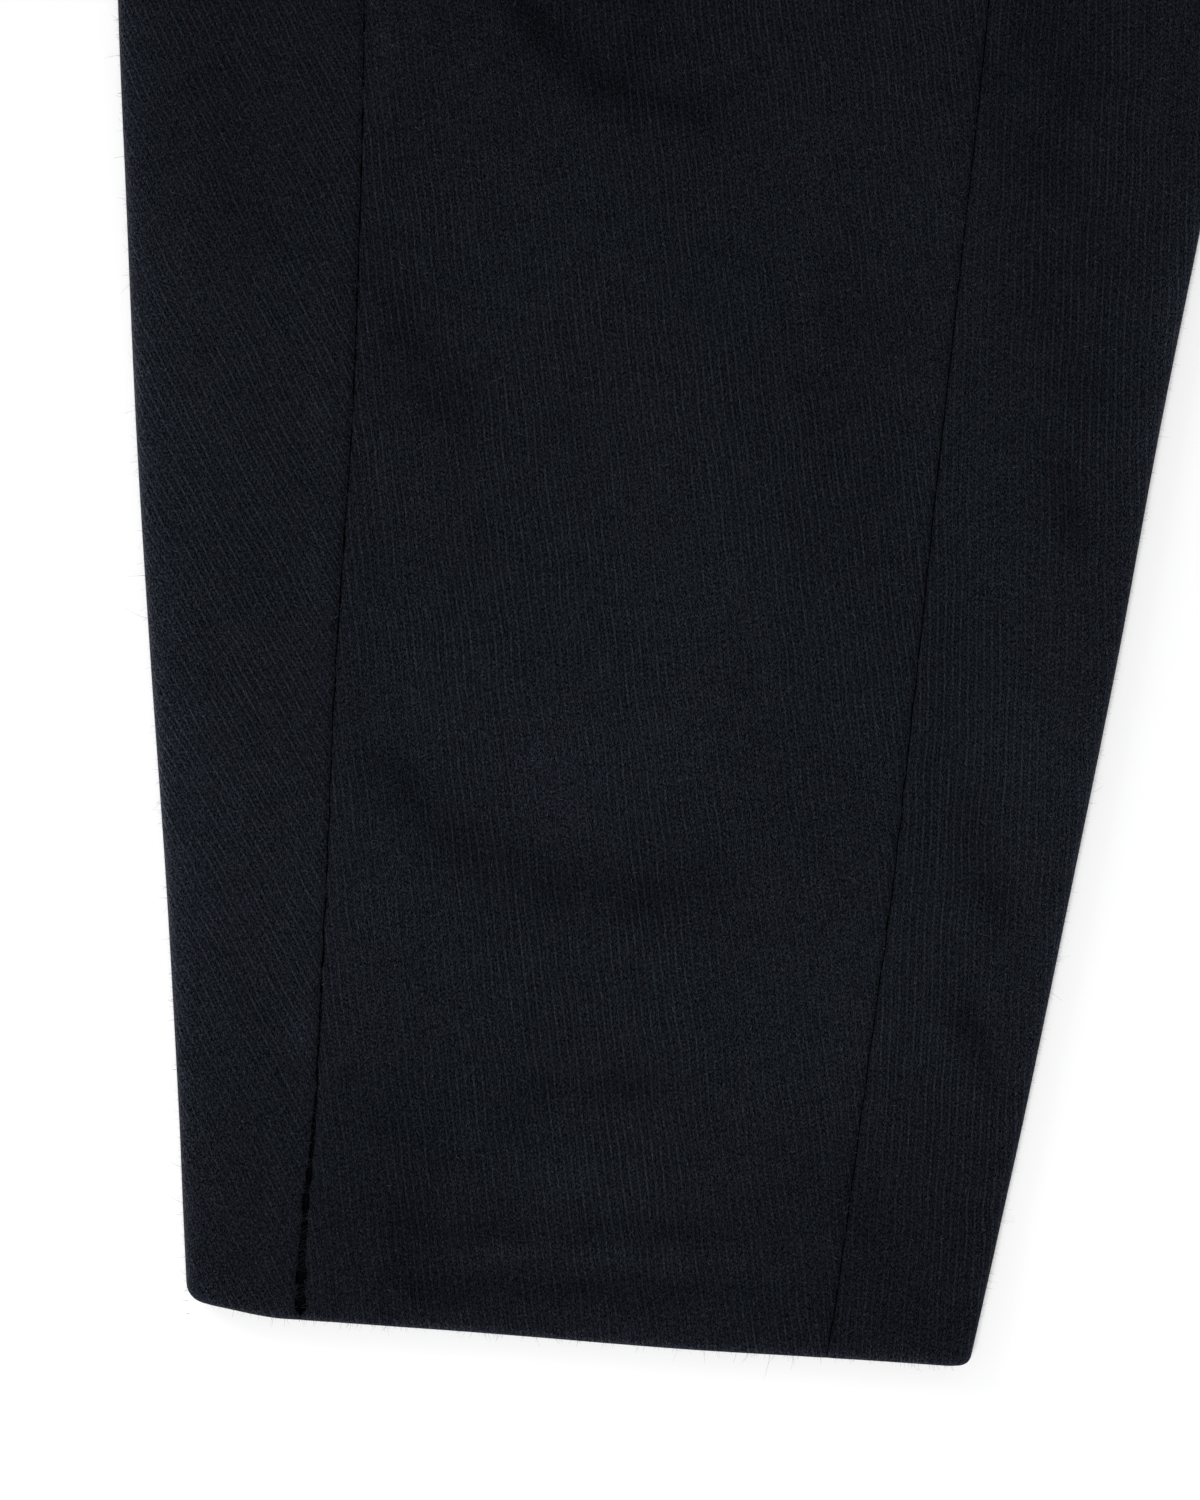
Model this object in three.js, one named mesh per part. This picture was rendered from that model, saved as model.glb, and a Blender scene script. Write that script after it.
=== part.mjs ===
// Tapered wool slacks lying flat on their back, front side up.
//
// Millimetres, +Z up. +Y runs from the hems to the waist, and X = 0 is the centre front and centre
// back. The origin is under the middle of the garment, on the surface it lies on.
//
// Each leg is a flattened tube of two pieces. The back piece makes the whole underside and folds
// round both edges of the leg, and the front piece lies on top between the two seams. A slit is
// left open at the foot of each outer seam. Above the crotch the two fronts and the two backs meet
// at the centre, under a waistband that is buttoned over a zip fly.

import * as THREE from "three";

// ---------------------------------------------------------------- driving dimensions
const CLOTH = 1.4; // one layer of brushed wool twill
const SEAM_GAP = 0.3; // between two pieces at a seam, or two layers that lie on each other
const LIE_GAP = 1.5; // from the lower layer up to the upper one, away from folds
const EDGE_GAP = 2.2; // the same inside the folded edges of a leg
const EDGE_REACH = 30; // how far in from an edge the cloth stays lifted by the fold

const CROTCH = 700; // height of the crotch above the middle of a hem
const HIP = 800;
const WAIST = 960; // where the waistband is sewn on, at the sides
const FRONT_DIP = 9; // the waist seam is this much lower at the centre front
const BACK_RISE = 14; // and this much higher at the centre back

const HEM_SLOPE = 0.0707; // a hem is square to its leg, so its outer end lies higher
const SLOPE_END = 520; // height where the rows of a leg lie level
const HEM_DROP = 1.6; // how far the hem's edge hangs below its nominal line
const HEM_TUCK = 2.2; // how far its outer end is drawn up again
const TUCK_REACH = 21; // over this distance from the outer edge
const HEM_DEPTH = 28; // cloth turned up inside at the hem
const HEM_STEP = 3; // half the height over which the turned-up layer thins out
const HEM_LAYER = 0.7; // what the turned-up layer adds to the wall
const HEM_SQUEEZE = 0.6; // how much closer the two sides lie there
const HEM_CORNER = 4; // radius of the hem's corners, seen from above
const HEM_ROUND = 1.2; // height over which the hem's fold rounds off
const HEM_LIP = 0.8; // wall at the very edge of that fold
const FLAT_INSET = 0.25; // share of the lip's inset on the side that lies on the surface

const VENT_TOP = 47; // height of the slit in the outer seam
const VENT_WIDTH = 2.2; // its width at the hem

const BAND_HEIGHT = 38;
const BAND_WALL = 2.4; // a folded strip of cloth
const BAND_SPACE = 0.6; // between the front and the back of the band
const BAND_HALF = 218; // half the length of the flattened band
const OVERLAP = 34; // how far the band's buttoned end passes the centre
const UNDERLAP = 20; // how far its other end lies under it

const FLY_BOTTOM = 775;
const FLY_EASE = 25; // height over which the overlap starts
const FLY_OVERLAP = 6; // how far the left front lies over the right one
const FLY_LIFT = CLOTH + SEAM_GAP;
const FLY_PAD = 0.7; // room for the zip under the fronts
const FLY_PAD_REACH = 26;
const FLY_PAD_RISE = 35; // height below the fly over which that room opens
const BAND_PRESS = [45, 5]; // folds die out between these distances below the waistband

const ZIP_BOTTOM = 792;
const ZIP_TOP = 944;
const ZIP_WIDTH = 26;
const ZIP_THICK = 1.1;

const BUTTON_RADIUS = 7.5;
const BUTTON_THICK = 2.6;
const BUTTON_RIM = 1.2;
const BUTTON_OFF_CENTRE = 20;

const HEIGHT_OF_ORIGIN = 502.3; // from the middle of a hem up to the origin, along Y

// Distances out from the centre line to the edges and seams of a leg, by height.
const OUTLINE = [
  { height: -12, outer: 311.2, outerSeam: 287.6, innerSeam: 171.7, inner: 139.6 },
  { height: 0, outer: 311.9, outerSeam: 287.3, innerSeam: 169.3, inner: 136.9 },
  { height: 25, outer: 313.1, outerSeam: 286.1, innerSeam: 165.6, inner: 131.3 },
  { height: 50, outer: 314.2, outerSeam: 283.8, innerSeam: 162.3, inner: 125.8 },
  { height: 100, outer: 317.0, outerSeam: 281.3, innerSeam: 155.4, inner: 115.5 },
  { height: 150, outer: 320.5, outerSeam: 279.1, innerSeam: 149.8, inner: 105.4 },
  { height: 200, outer: 323.6, outerSeam: 275.7, innerSeam: 144.5, inner: 96.2 },
  { height: 250, outer: 325.8, outerSeam: 273.8, innerSeam: 139.0, inner: 86.1 },
  { height: 300, outer: 327.8, outerSeam: 272.7, innerSeam: 133.7, inner: 76.0 },
  { height: 400, outer: 329.4, outerSeam: 270.0, innerSeam: 124.0, inner: 55.6 },
  { height: 500, outer: 326.6, outerSeam: 266.0, innerSeam: 110.0, inner: 35.6 },
  { height: 600, outer: 317.5, outerSeam: 258.0, innerSeam: 86.0, inner: 16.6 },
  { height: 650, outer: 310.5, outerSeam: 252.5, innerSeam: 64.0, inner: 8.0 },
  { height: 685, outer: 304.5, outerSeam: 247.8, innerSeam: 35.0, inner: 2.4 },
  { height: 700, outer: 301.5, outerSeam: 245.5, innerSeam: 12.0, inner: 0.15 },
  { height: 800, outer: 279.5, outerSeam: 228.5, innerSeam: 12.0, inner: 0.15 },
  { height: 870, outer: 258.0, outerSeam: 210.0, innerSeam: 12.0, inner: 0.15 },
  { height: 920, outer: 237.0, outerSeam: 192.0, innerSeam: 12.0, inner: 0.15 },
  { height: 960, outer: 218.0, outerSeam: 177.0, innerSeam: 12.0, inner: 0.15 },
];

// Heights of the rows of points that the walls are drawn through: the hem and its slit first, then
// evenly up the leg to the crotch, and from there past the foot of the fly to the waist.
const HEM_STEPS = [HEM_DEPTH - HEM_STEP, HEM_DEPTH + HEM_STEP];
const HEM_ROWS = [0, HEM_ROUND, HEM_CORNER, HEM_DEPTH / 2, ...HEM_STEPS, VENT_TOP];
const ROWS_BELOW_CROTCH = [...HEM_ROWS, ...spread(66, CROTCH - 12, 24)];
const ROWS_ABOVE_CROTCH = [
  ...spread(CROTCH + 8, FLY_BOTTOM - 20, 4),
  ...spread(FLY_BOTTOM - 10, FLY_BOTTOM + FLY_EASE, 4),
  ...spread(FLY_BOTTOM + 2 * FLY_EASE, WAIST - SEAM_GAP, 6),
];

// Soft ridges (up) and troughs (down) of the upper layer. Each runs from x0, y0 to x1, y1 and bows
// sideways by bow in the middle; wide is its half width.
const FOLDS = [
  // wearer's right leg, from the hem up
  { x0: -243, y0: 52, x1: -196, y1: 53, bow: 6, wide: 9, up: -0.8 },
  { x0: -272, y0: 62, x1: -271, y1: 18, bow: 0, wide: 10, up: -0.7 },
  { x0: -236, y0: 32, x1: -206, y1: 31, bow: 0, wide: 11, up: 0.6 },
  { x0: -274, y0: 136, x1: -196, y1: 104, bow: -14, wide: 10, up: -1.1 },
  { x0: -262, y0: 158, x1: -196, y1: 134, bow: -10, wide: 15, up: 1.0 },
  { x0: -180, y0: 214, x1: -166, y1: 158, bow: 0, wide: 14, up: -0.8 },
  { x0: -268, y0: 234, x1: -246, y1: 196, bow: 0, wide: 9, up: -0.8 },
  { x0: -262, y0: 330, x1: -190, y1: 268, bow: -10, wide: 11, up: -1.1 },
  { x0: -142, y0: 128, x1: -130, y1: 90, bow: 0, wide: 8, up: -0.8 },
  { x0: -119, y0: 192, x1: -110, y1: 166, bow: 0, wide: 7, up: -0.7 },
  { x0: -290, y0: 420, x1: -190, y1: 352, bow: -12, wide: 16, up: 2.2 },
  { x0: -240, y0: 470, x1: -120, y1: 395, bow: -16, wide: 14, up: -1.1 },
  { x0: -110, y0: 500, x1: -200, y1: 415, bow: 12, wide: 16, up: 1.9 },
  { x0: -280, y0: 560, x1: -205, y1: 478, bow: -10, wide: 18, up: 2.0 },
  { x0: -30, y0: 676, x1: -150, y1: 560, bow: 16, wide: 14, up: 2.6 },
  { x0: -44, y0: 640, x1: -118, y1: 525, bow: 10, wide: 12, up: 1.6 },
  { x0: -24, y0: 716, x1: -195, y1: 668, bow: 14, wide: 15, up: 2.8 },
  { x0: -40, y0: 738, x1: -170, y1: 742, bow: 8, wide: 12, up: 1.6 },
  { x0: -190, y0: 610, x1: -270, y1: 655, bow: 10, wide: 16, up: 1.5 },
  { x0: -228, y0: 730, x1: -150, y1: 800, bow: -8, wide: 15, up: 1.4 },
  { x0: -200, y0: 880, x1: -120, y1: 905, bow: 6, wide: 14, up: 1.0 },
  // wearer's left leg
  { x0: 276, y0: 118, x1: 188, y1: 96, bow: 12, wide: 11, up: -1.0 },
  { x0: 266, y0: 150, x1: 190, y1: 124, bow: 10, wide: 15, up: 1.1 },
  { x0: 182, y0: 204, x1: 160, y1: 148, bow: 4, wide: 13, up: -0.8 },
  { x0: 258, y0: 258, x1: 196, y1: 214, bow: 8, wide: 13, up: 1.0 },
  { x0: 268, y0: 318, x1: 178, y1: 286, bow: 10, wide: 12, up: -1.1 },
  { x0: 286, y0: 392, x1: 176, y1: 336, bow: 14, wide: 16, up: 2.0 },
  { x0: 112, y0: 482, x1: 214, y1: 400, bow: -12, wide: 16, up: 2.2 },
  { x0: 236, y0: 492, x1: 140, y1: 430, bow: 10, wide: 13, up: -1.0 },
  { x0: 292, y0: 540, x1: 198, y1: 486, bow: 12, wide: 17, up: 1.7 },
  { x0: 28, y0: 672, x1: 142, y1: 540, bow: -16, wide: 15, up: 2.4 },
  { x0: 52, y0: 628, x1: 106, y1: 506, bow: -8, wide: 12, up: 1.8 },
  { x0: 26, y0: 712, x1: 206, y1: 652, bow: -16, wide: 15, up: 2.9 },
  { x0: 44, y0: 744, x1: 160, y1: 736, bow: -8, wide: 12, up: 1.4 },
  { x0: 196, y0: 596, x1: 276, y1: 636, bow: -10, wide: 16, up: 1.3 },
  { x0: 232, y0: 716, x1: 142, y1: 792, bow: 8, wide: 15, up: 1.6 },
  { x0: 186, y0: 890, x1: 112, y1: 898, bow: -6, wide: 14, up: 0.9 },
];

const STRIP_STEPS = 4; // points across each strip that the back piece shows on the front
const ARC_STEPS = 4; // facets round a folded edge
const UNDER_STEPS = 4; // points across the underside
const FRONT_STEPS = 13; // points across a front piece
const FRONT_EDGE = 14; // distance between the last two of them
const BAND_STEPS = 4; // facets round each end of the band
const BAND_ROWS = 3; // rows of points up the band
const BAND_FLAT = 165; // the band's straight runs have points out to here
const BAND_RAMP = [64, 24]; // between these distances the buttoned end climbs over the other end

// ---------------------------------------------------------------- helpers
function spread(from, to, count) {
  return Array.from({ length: count }, (_, k) => from + ((to - from) * k) / (count - 1));
}

function clamp(value, low, high) {
  return Math.min(high, Math.max(low, value));
}

function mix(from, to, share) {
  return from + (to - from) * share;
}

function ease(from, to, value) {
  const share = clamp((value - from) / (to - from), 0, 1);
  return share * share * (3 - 2 * share);
}

// The outline's column at a height, on a smooth curve through the table's rows.
function outlineAt(column, height) {
  const last = OUTLINE.length - 1;
  const at = clamp(height, OUTLINE[0].height, OUTLINE[last].height);
  let i = 0;
  while (i < last - 1 && OUTLINE[i + 1].height <= at) i += 1;
  const slope = (k) => {
    const below = OUTLINE[Math.max(k - 1, 0)];
    const above = OUTLINE[Math.min(k + 1, last)];
    return (above[column] - below[column]) / (above.height - below.height);
  };
  const step = OUTLINE[i + 1].height - OUTLINE[i].height;
  const t = (at - OUTLINE[i].height) / step;
  const a = OUTLINE[i][column];
  const b = OUTLINE[i + 1][column];
  const curve = (2 * t ** 3 - 3 * t ** 2 + 1) * a + (3 * t ** 2 - 2 * t ** 3) * b;
  const lean = (t ** 3 - 2 * t ** 2 + t) * slope(i) + (t ** 3 - t ** 2) * slope(i + 1);
  return curve + lean * step;
}

// A row of the leg leans with the hem; this is a point's height on the row, out from the centre.
function heightOnRow(row, out) {
  const slope = HEM_SLOPE * (1 - ease(0, SLOPE_END, row));
  const middle = (outlineAt("outer", row) + outlineAt("inner", row)) / 2;
  const tuck = HEM_TUCK * (1 - ease(0, TUCK_REACH, outlineAt("outer", row) - out));
  const nearHem = 1 - ease(0, VENT_TOP, row);
  return row + slope * (out - middle) + (tuck - HEM_DROP) * nearHem;
}

// Where a row meets an edge or seam of the outline.
function meet(column, row) {
  let out = outlineAt(column, row);
  for (let pass = 0; pass < 3; pass += 1) out = outlineAt(column, heightOnRow(row, out));
  return out;
}

function cornerInset(row) {
  const missing = clamp(HEM_CORNER - row, 0, HEM_CORNER);
  return HEM_CORNER - Math.sqrt(HEM_CORNER ** 2 - missing ** 2);
}

function inHem(row) {
  return 1 - ease(...HEM_STEPS, row);
}

function wallAt(row) {
  return CLOTH + HEM_LAYER * inHem(row);
}

// How much the hem's fold pulls both faces of a wall in, so that the lip stays in its middle.
function lipInset(row) {
  return ((wallAt(row) - HEM_LIP) / 2) * (1 - clamp(row / HEM_ROUND, 0, 1));
}

function ventHalf(y) {
  const open = VENT_WIDTH * (1 - (clamp(y, 0, VENT_TOP) / VENT_TOP) ** 2);
  return Math.max(open, SEAM_GAP) / 2;
}

function waistBow(row, depth, out) {
  const share = clamp(out / outlineAt("outer", row), 0, 1);
  return depth * ease(HIP, WAIST, row) * (1 - share ** 2);
}

function foldHeight(fold, x, y) {
  const runX = fold.x1 - fold.x0;
  const runY = fold.y1 - fold.y0;
  const length = Math.hypot(runX, runY);
  const along = ((x - fold.x0) * runX + (y - fold.y0) * runY) / length ** 2;
  const inside = clamp(along, 0, 1);
  const bowed = fold.bow * 4 * inside * (1 - inside);
  const aside = ((y - fold.y0) * runX - (x - fold.x0) * runY) / length - bowed;
  const beyond = (along - inside) * length;
  const fade = ease(-0.35, 0.3, along) * ease(-0.35, 0.3, 1 - along);
  return fold.up * fade * Math.exp(-(aside ** 2 + beyond ** 2) / fold.wide ** 2);
}

// The free height between the lower and the upper layer, at a place on a leg.
function spaceAt(side, out, y, row) {
  const x = side * out;
  let space = LIE_GAP;
  for (const fold of FOLDS) space += foldHeight(fold, x, y);
  const aside = 1 - ease(FLY_PAD_REACH / 2, FLY_PAD_REACH, out);
  const overFly = ease(FLY_BOTTOM - FLY_PAD_RISE, FLY_BOTTOM, y) * aside;
  const underBand = ease(WAIST - BAND_PRESS[0], WAIST - BAND_PRESS[1], row);
  space = mix(space, LIE_GAP + FLY_PAD, Math.max(overFly, underBand));
  space = Math.max(space, SEAM_GAP);
  const toOuter = outlineAt("outer", y) - out;
  const toInner = Math.hypot(out - outlineAt("inner", y), Math.max(0, y - CROTCH));
  const lifted = 1 - ease(foldRadius(row), EDGE_REACH, Math.min(toOuter, toInner));
  return mix(space, EDGE_GAP, lifted) - HEM_SQUEEZE * inHem(row);
}

function foldRadius(row) {
  return wallAt(row) + (EDGE_GAP - HEM_SQUEEZE * inHem(row)) / 2;
}

// ---------------------------------------------------------------- walls
// A closed wall through a grid of points, each with a face side and a back side. Cells that
// isCloth refuses are left out, and every free edge is closed from face to back.
function clothWall(grid, isCloth = () => true, turned = false) {
  const triangles = [];
  const edges = new Map();
  const name = (i, j) => i * grid[0].length + j;
  const addTriangle = (a, b, c) => triangles.push(...(turned ? [a, c, b] : [a, b, c]));
  for (let i = 0; i + 1 < grid.length; i += 1) {
    for (let j = 0; j + 1 < grid[0].length; j += 1) {
      if (!isCloth(i, j)) continue;
      const corners = [[i, j], [i, j + 1], [i + 1, j + 1], [i + 1, j]];
      const [a, b, c, d] = corners.map(([row, column]) => grid[row][column]);
      addTriangle(a.face, b.face, c.face);
      addTriangle(a.face, c.face, d.face);
      addTriangle(a.back, c.back, b.back);
      addTriangle(a.back, d.back, c.back);
      for (let k = 0; k < 4; k += 1) {
        const from = corners[k];
        const to = corners[(k + 1) % 4];
        const opposite = `${name(...to)}>${name(...from)}`;
        if (edges.has(opposite)) edges.delete(opposite);
        else edges.set(`${name(...from)}>${name(...to)}`, [from, to]);
      }
    }
  }
  for (const [from, to] of edges.values()) {
    const start = grid[from[0]][from[1]];
    const end = grid[to[0]][to[1]];
    addTriangle(end.face, start.face, start.back);
    addTriangle(end.face, start.back, end.back);
  }
  const geometry = new THREE.BufferGeometry();
  const places = triangles.flatMap((p) => [p.x, p.y, p.z]);
  geometry.setAttribute("position", new THREE.Float32BufferAttribute(places, 3));
  geometry.computeVertexNormals();
  return geometry;
}

function point(side, out, y, face, back) {
  const x = side * out;
  return { face: new THREE.Vector3(x, y, face), back: new THREE.Vector3(x, y, back) };
}

// A point of the upper layer.
function upperPoint(side, out, row, lift = 0) {
  const y = heightOnRow(row, out) + waistBow(row, -FRONT_DIP, out);
  const top = 2 * wallAt(row) + spaceAt(side, out, y, row) + lift;
  const inset = lipInset(row);
  return point(side, out, y, top - inset, top - wallAt(row) + inset);
}

// A point of the lower layer, which lies on the surface.
function lowerPoint(side, out, row) {
  const y = heightOnRow(row, out) + waistBow(row, BACK_RISE, out);
  const inset = lipInset(row);
  return point(side, out, y, inset * FLAT_INSET, wallAt(row) - inset);
}

// A point of the cloth as it folds round an edge: turn goes from -1, under, to 1, on top.
function edgePoint(side, edge, outward, row, turn) {
  const radius = foldRadius(row);
  const inset = lipInset(row);
  const centre = edge - outward * radius;
  const angle = (turn * Math.PI) / 2;
  const at = (r) => {
    const out = centre + outward * r * Math.cos(angle);
    return new THREE.Vector3(side * out, heightOnRow(row, out), radius + r * Math.sin(angle));
  };
  return { face: at(radius - inset * FLAT_INSET), back: at(radius - wallAt(row) + inset) };
}

// ---------------------------------------------------------------- the pieces
function addPiece(name, geometry, material) {
  const mesh = new THREE.Mesh(geometry, material);
  mesh.name = name;
  slacks.add(mesh);
  return mesh;
}

function clothMaterial() {
  return new THREE.MeshStandardMaterial({ color: 0x17191f, roughness: 0.95, metalness: 0 });
}

// A front piece lies on top, from the outer seam to the inner seam or the centre front.
function frontPiece(side) {
  const overlaps = side > 0;
  const rows = [...ROWS_BELOW_CROTCH, CROTCH + SEAM_GAP / 2, ...ROWS_ABOVE_CROTCH];
  const grid = rows.map((row) => {
    const seam = meet("outerSeam", row);
    const start = seam - ventHalf(heightOnRow(row, seam));
    let end = meet("innerSeam", row) + SEAM_GAP / 2;
    let lift = 0;
    if (row > CROTCH + SEAM_GAP) {
      end = SEAM_GAP / 2;
      if (overlaps) {
        end = mix(end, -FLY_OVERLAP, ease(FLY_BOTTOM, FLY_BOTTOM + FLY_EASE, row));
        lift = FLY_LIFT * ease(FLY_BOTTOM - 20, FLY_BOTTOM, row);
      }
    }
    const points = [];
    for (let k = 0; k <= FRONT_STEPS; k += 1) {
      const out = k < FRONT_STEPS ? mix(start, end + FRONT_EDGE, k / (FRONT_STEPS - 1)) : end;
      const overFly = 1 - ease(FRONT_EDGE - FLY_OVERLAP, FRONT_EDGE + 2 * FLY_OVERLAP, out);
      points.push(upperPoint(side, out, row, lift * overFly));
    }
    return points;
  });
  return clothWall(grid, undefined, side > 0);
}

// A back piece runs from the inner seam, round the inner edge, under the leg, round the outer edge
// and up to the outer seam. Above the crotch it starts at the centre back.
function backPiece(side) {
  const rows = [...ROWS_BELOW_CROTCH, CROTCH - SEAM_GAP / 2, ...ROWS_ABOVE_CROTCH];
  const crotchRow = ROWS_BELOW_CROTCH.length;
  const underStart = STRIP_STEPS + ARC_STEPS;
  const grid = rows.map((row, index) => {
    const radius = foldRadius(row);
    const inner = meet("inner", row) + cornerInset(row);
    const outer = meet("outer", row) - cornerInset(row);
    const innerSeam = meet("innerSeam", row) - SEAM_GAP / 2;
    const seam = meet("outerSeam", row);
    const outerSeam = seam + ventHalf(heightOnRow(row, seam));
    const aboveCrotch = index > crotchRow;
    const underEnd = aboveCrotch ? SEAM_GAP / 2 : inner + radius;
    const points = [];
    for (let k = 0; k < STRIP_STEPS; k += 1) {
      points.push(upperPoint(side, mix(innerSeam, inner + radius, k / STRIP_STEPS), row));
    }
    for (let k = 0; k < ARC_STEPS; k += 1) {
      points.push(edgePoint(side, inner, -1, row, 1 - (2 * k) / ARC_STEPS));
    }
    for (let k = 0; k < UNDER_STEPS; k += 1) {
      points.push(lowerPoint(side, mix(underEnd, outer - radius, k / UNDER_STEPS), row));
    }
    for (let k = 0; k < ARC_STEPS; k += 1) {
      points.push(edgePoint(side, outer, 1, row, (2 * k) / ARC_STEPS - 1));
    }
    for (let k = 0; k <= STRIP_STEPS; k += 1) {
      points.push(upperPoint(side, mix(outer - radius, outerSeam, k / STRIP_STEPS), row));
    }
    return points;
  });
  const isCloth = (i, j) => i < crotchRow || j >= underStart;
  return clothWall(grid, isCloth, side > 0);
}

// The band is one folded strip. From its hidden end it runs right round and back over itself.
function waistband() {
  const half = BAND_WALL / 2;
  const radius = half + BAND_SPACE / 2;
  const low = half;
  const high = low + 2 * radius;
  const over = high + BAND_WALL + SEAM_GAP;
  const endX = BAND_HALF - radius - half;
  const line = [];
  const add = (x, z, normalX, normalZ, front) => line.push({ x, z, normalX, normalZ, front });
  const bend = (side) => {
    for (let k = 0; k <= BAND_STEPS; k += 1) {
      const angle = -side * (Math.PI / 2) + (Math.PI * k) / BAND_STEPS;
      const turnX = Math.cos(angle);
      const turnZ = Math.sin(angle);
      const isFront = turnZ > Number.EPSILON;
      add(side * endX + radius * turnX, low + radius + radius * turnZ, turnX, turnZ, isFront);
    }
  };
  for (const x of spread(UNDERLAP, -BAND_FLAT, 5)) add(x, high, 0, 1, true);
  bend(-1);
  for (const x of spread(-BAND_FLAT, BAND_FLAT, 7)) add(x, low, 0, -1, false);
  bend(1);
  for (const x of spread(BAND_FLAT, BAND_RAMP[0], 3)) add(x, high, 0, 1, true);
  for (const x of [...spread(54, BAND_RAMP[1], 4), 0, -OVERLAP]) {
    add(x, mix(high, over, 1 - ease(BAND_RAMP[1], BAND_RAMP[0], x)), 0, 1, true);
  }
  const grid = [];
  for (let k = 0; k <= BAND_ROWS; k += 1) {
    grid.push(line.map((p) => {
      const share = 1 - (p.x / BAND_HALF) ** 2;
      const bow = (p.front ? -FRONT_DIP : BACK_RISE) * Math.max(share, 0);
      const y = WAIST + (BAND_HEIGHT * k) / BAND_ROWS + bow;
      const at = (offset) => new THREE.Vector3(p.x + p.normalX * offset, y, p.z + p.normalZ * offset);
      return { face: at(half), back: at(-half) };
    }));
  }
  return clothWall(grid, undefined, true);
}

function buttonShape() {
  const profile = [
    [0, 0],
    [BUTTON_RADIUS - 1, 0],
    [BUTTON_RADIUS, BUTTON_THICK / 2],
    [BUTTON_RADIUS - BUTTON_RIM / 3, BUTTON_THICK],
    [BUTTON_RADIUS - BUTTON_RIM, BUTTON_THICK],
    [BUTTON_RADIUS - 2 * BUTTON_RIM, BUTTON_THICK - 0.7],
    [0, BUTTON_THICK - 0.7],
  ];
  const geometry = new THREE.LatheGeometry(profile.map(([r, z]) => new THREE.Vector2(r, z)), 28);
  geometry.rotateX(Math.PI / 2);
  return geometry;
}

function zipShape() {
  const half = ZIP_WIDTH / 2;
  const outline = new THREE.Shape();
  outline.moveTo(-half, 0);
  outline.lineTo(half, 0);
  outline.lineTo(half, ZIP_TOP - ZIP_BOTTOM);
  outline.lineTo(-half, ZIP_TOP - ZIP_BOTTOM);
  return new THREE.ExtrudeGeometry(outline, { depth: ZIP_THICK, bevelEnabled: false });
}

// ---------------------------------------------------------------- the slacks
const slacks = new THREE.Group();
slacks.position.y = -HEIGHT_OF_ORIGIN;

for (const [name, side] of [["right", -1], ["left", 1]]) {
  addPiece(`back_${name}`, backPiece(side), clothMaterial());
  addPiece(`front_${name}`, frontPiece(side), clothMaterial());
}

addPiece("waistband", waistband(), clothMaterial());

const tape = new THREE.MeshStandardMaterial({ color: 0x14161b, roughness: 0.8 });
const zip = addPiece("zip", zipShape(), tape);
zip.position.set(0, ZIP_BOTTOM, CLOTH + SEAM_GAP);

const resin = new THREE.MeshStandardMaterial({ color: 0x14151a, roughness: 0.35 });
const button = addPiece("button", buttonShape(), resin);
const bandTop = BAND_WALL * 3 + BAND_SPACE + SEAM_GAP;
button.position.set(-BUTTON_OFF_CENTRE, WAIST - FRONT_DIP + BAND_HEIGHT / 2, bandTop + SEAM_GAP);

export default slacks;
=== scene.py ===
"""Tapered wool slacks, lying flat on their back on a white table, seen from above.

The frame is in metres. Sizes here are in millimetres, measured as in the CAD source: heights from
the middle of a hem up to the waist, and distances out from the centre line.
"""

import math

import bmesh
import bpy
import numpy as np
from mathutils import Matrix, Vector


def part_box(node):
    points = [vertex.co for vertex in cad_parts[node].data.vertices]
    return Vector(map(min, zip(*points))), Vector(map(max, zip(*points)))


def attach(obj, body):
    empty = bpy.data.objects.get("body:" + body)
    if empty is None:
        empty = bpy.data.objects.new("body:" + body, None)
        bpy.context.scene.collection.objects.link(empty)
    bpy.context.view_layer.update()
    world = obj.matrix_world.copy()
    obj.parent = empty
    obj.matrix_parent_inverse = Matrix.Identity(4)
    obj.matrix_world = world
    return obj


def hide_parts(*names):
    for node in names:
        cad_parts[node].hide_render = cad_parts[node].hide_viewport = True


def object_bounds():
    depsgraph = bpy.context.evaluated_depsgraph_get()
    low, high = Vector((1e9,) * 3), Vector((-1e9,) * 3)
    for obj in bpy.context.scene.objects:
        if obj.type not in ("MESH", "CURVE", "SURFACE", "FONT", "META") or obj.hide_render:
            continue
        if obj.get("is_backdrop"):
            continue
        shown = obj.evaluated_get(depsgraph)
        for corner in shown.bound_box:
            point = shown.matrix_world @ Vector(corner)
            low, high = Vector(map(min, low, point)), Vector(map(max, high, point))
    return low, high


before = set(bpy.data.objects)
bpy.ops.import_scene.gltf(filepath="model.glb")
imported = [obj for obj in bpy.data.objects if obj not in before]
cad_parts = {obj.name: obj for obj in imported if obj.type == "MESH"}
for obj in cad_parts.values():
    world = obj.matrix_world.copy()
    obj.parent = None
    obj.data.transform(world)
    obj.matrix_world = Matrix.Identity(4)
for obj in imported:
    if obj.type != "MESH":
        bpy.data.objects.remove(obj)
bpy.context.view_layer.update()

# ------------------------------------------------------------------ sizes, as in the CAD source
MM = 0.001
CLOTH = 1.4
SEAM_GAP = 0.3
LIE_GAP = 1.5
EDGE_GAP = 2.2
EDGE_REACH = 30
CROTCH = 700
HIP = 800
WAIST = 960
FRONT_DIP = 9
BACK_RISE = 14
HEM_SLOPE = 0.0707
SLOPE_END = 520
HEM_DROP = 1.6
HEM_TUCK = 2.2
TUCK_REACH = 21
HEM_SAG = 0.5  # the hem hangs this much lower in its middle than the CAD's straight line,
SAG_AT = 203  # most of all this far out from the centre line
SAG_WIDTH = 32
HEM_DEPTH = 28
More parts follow.
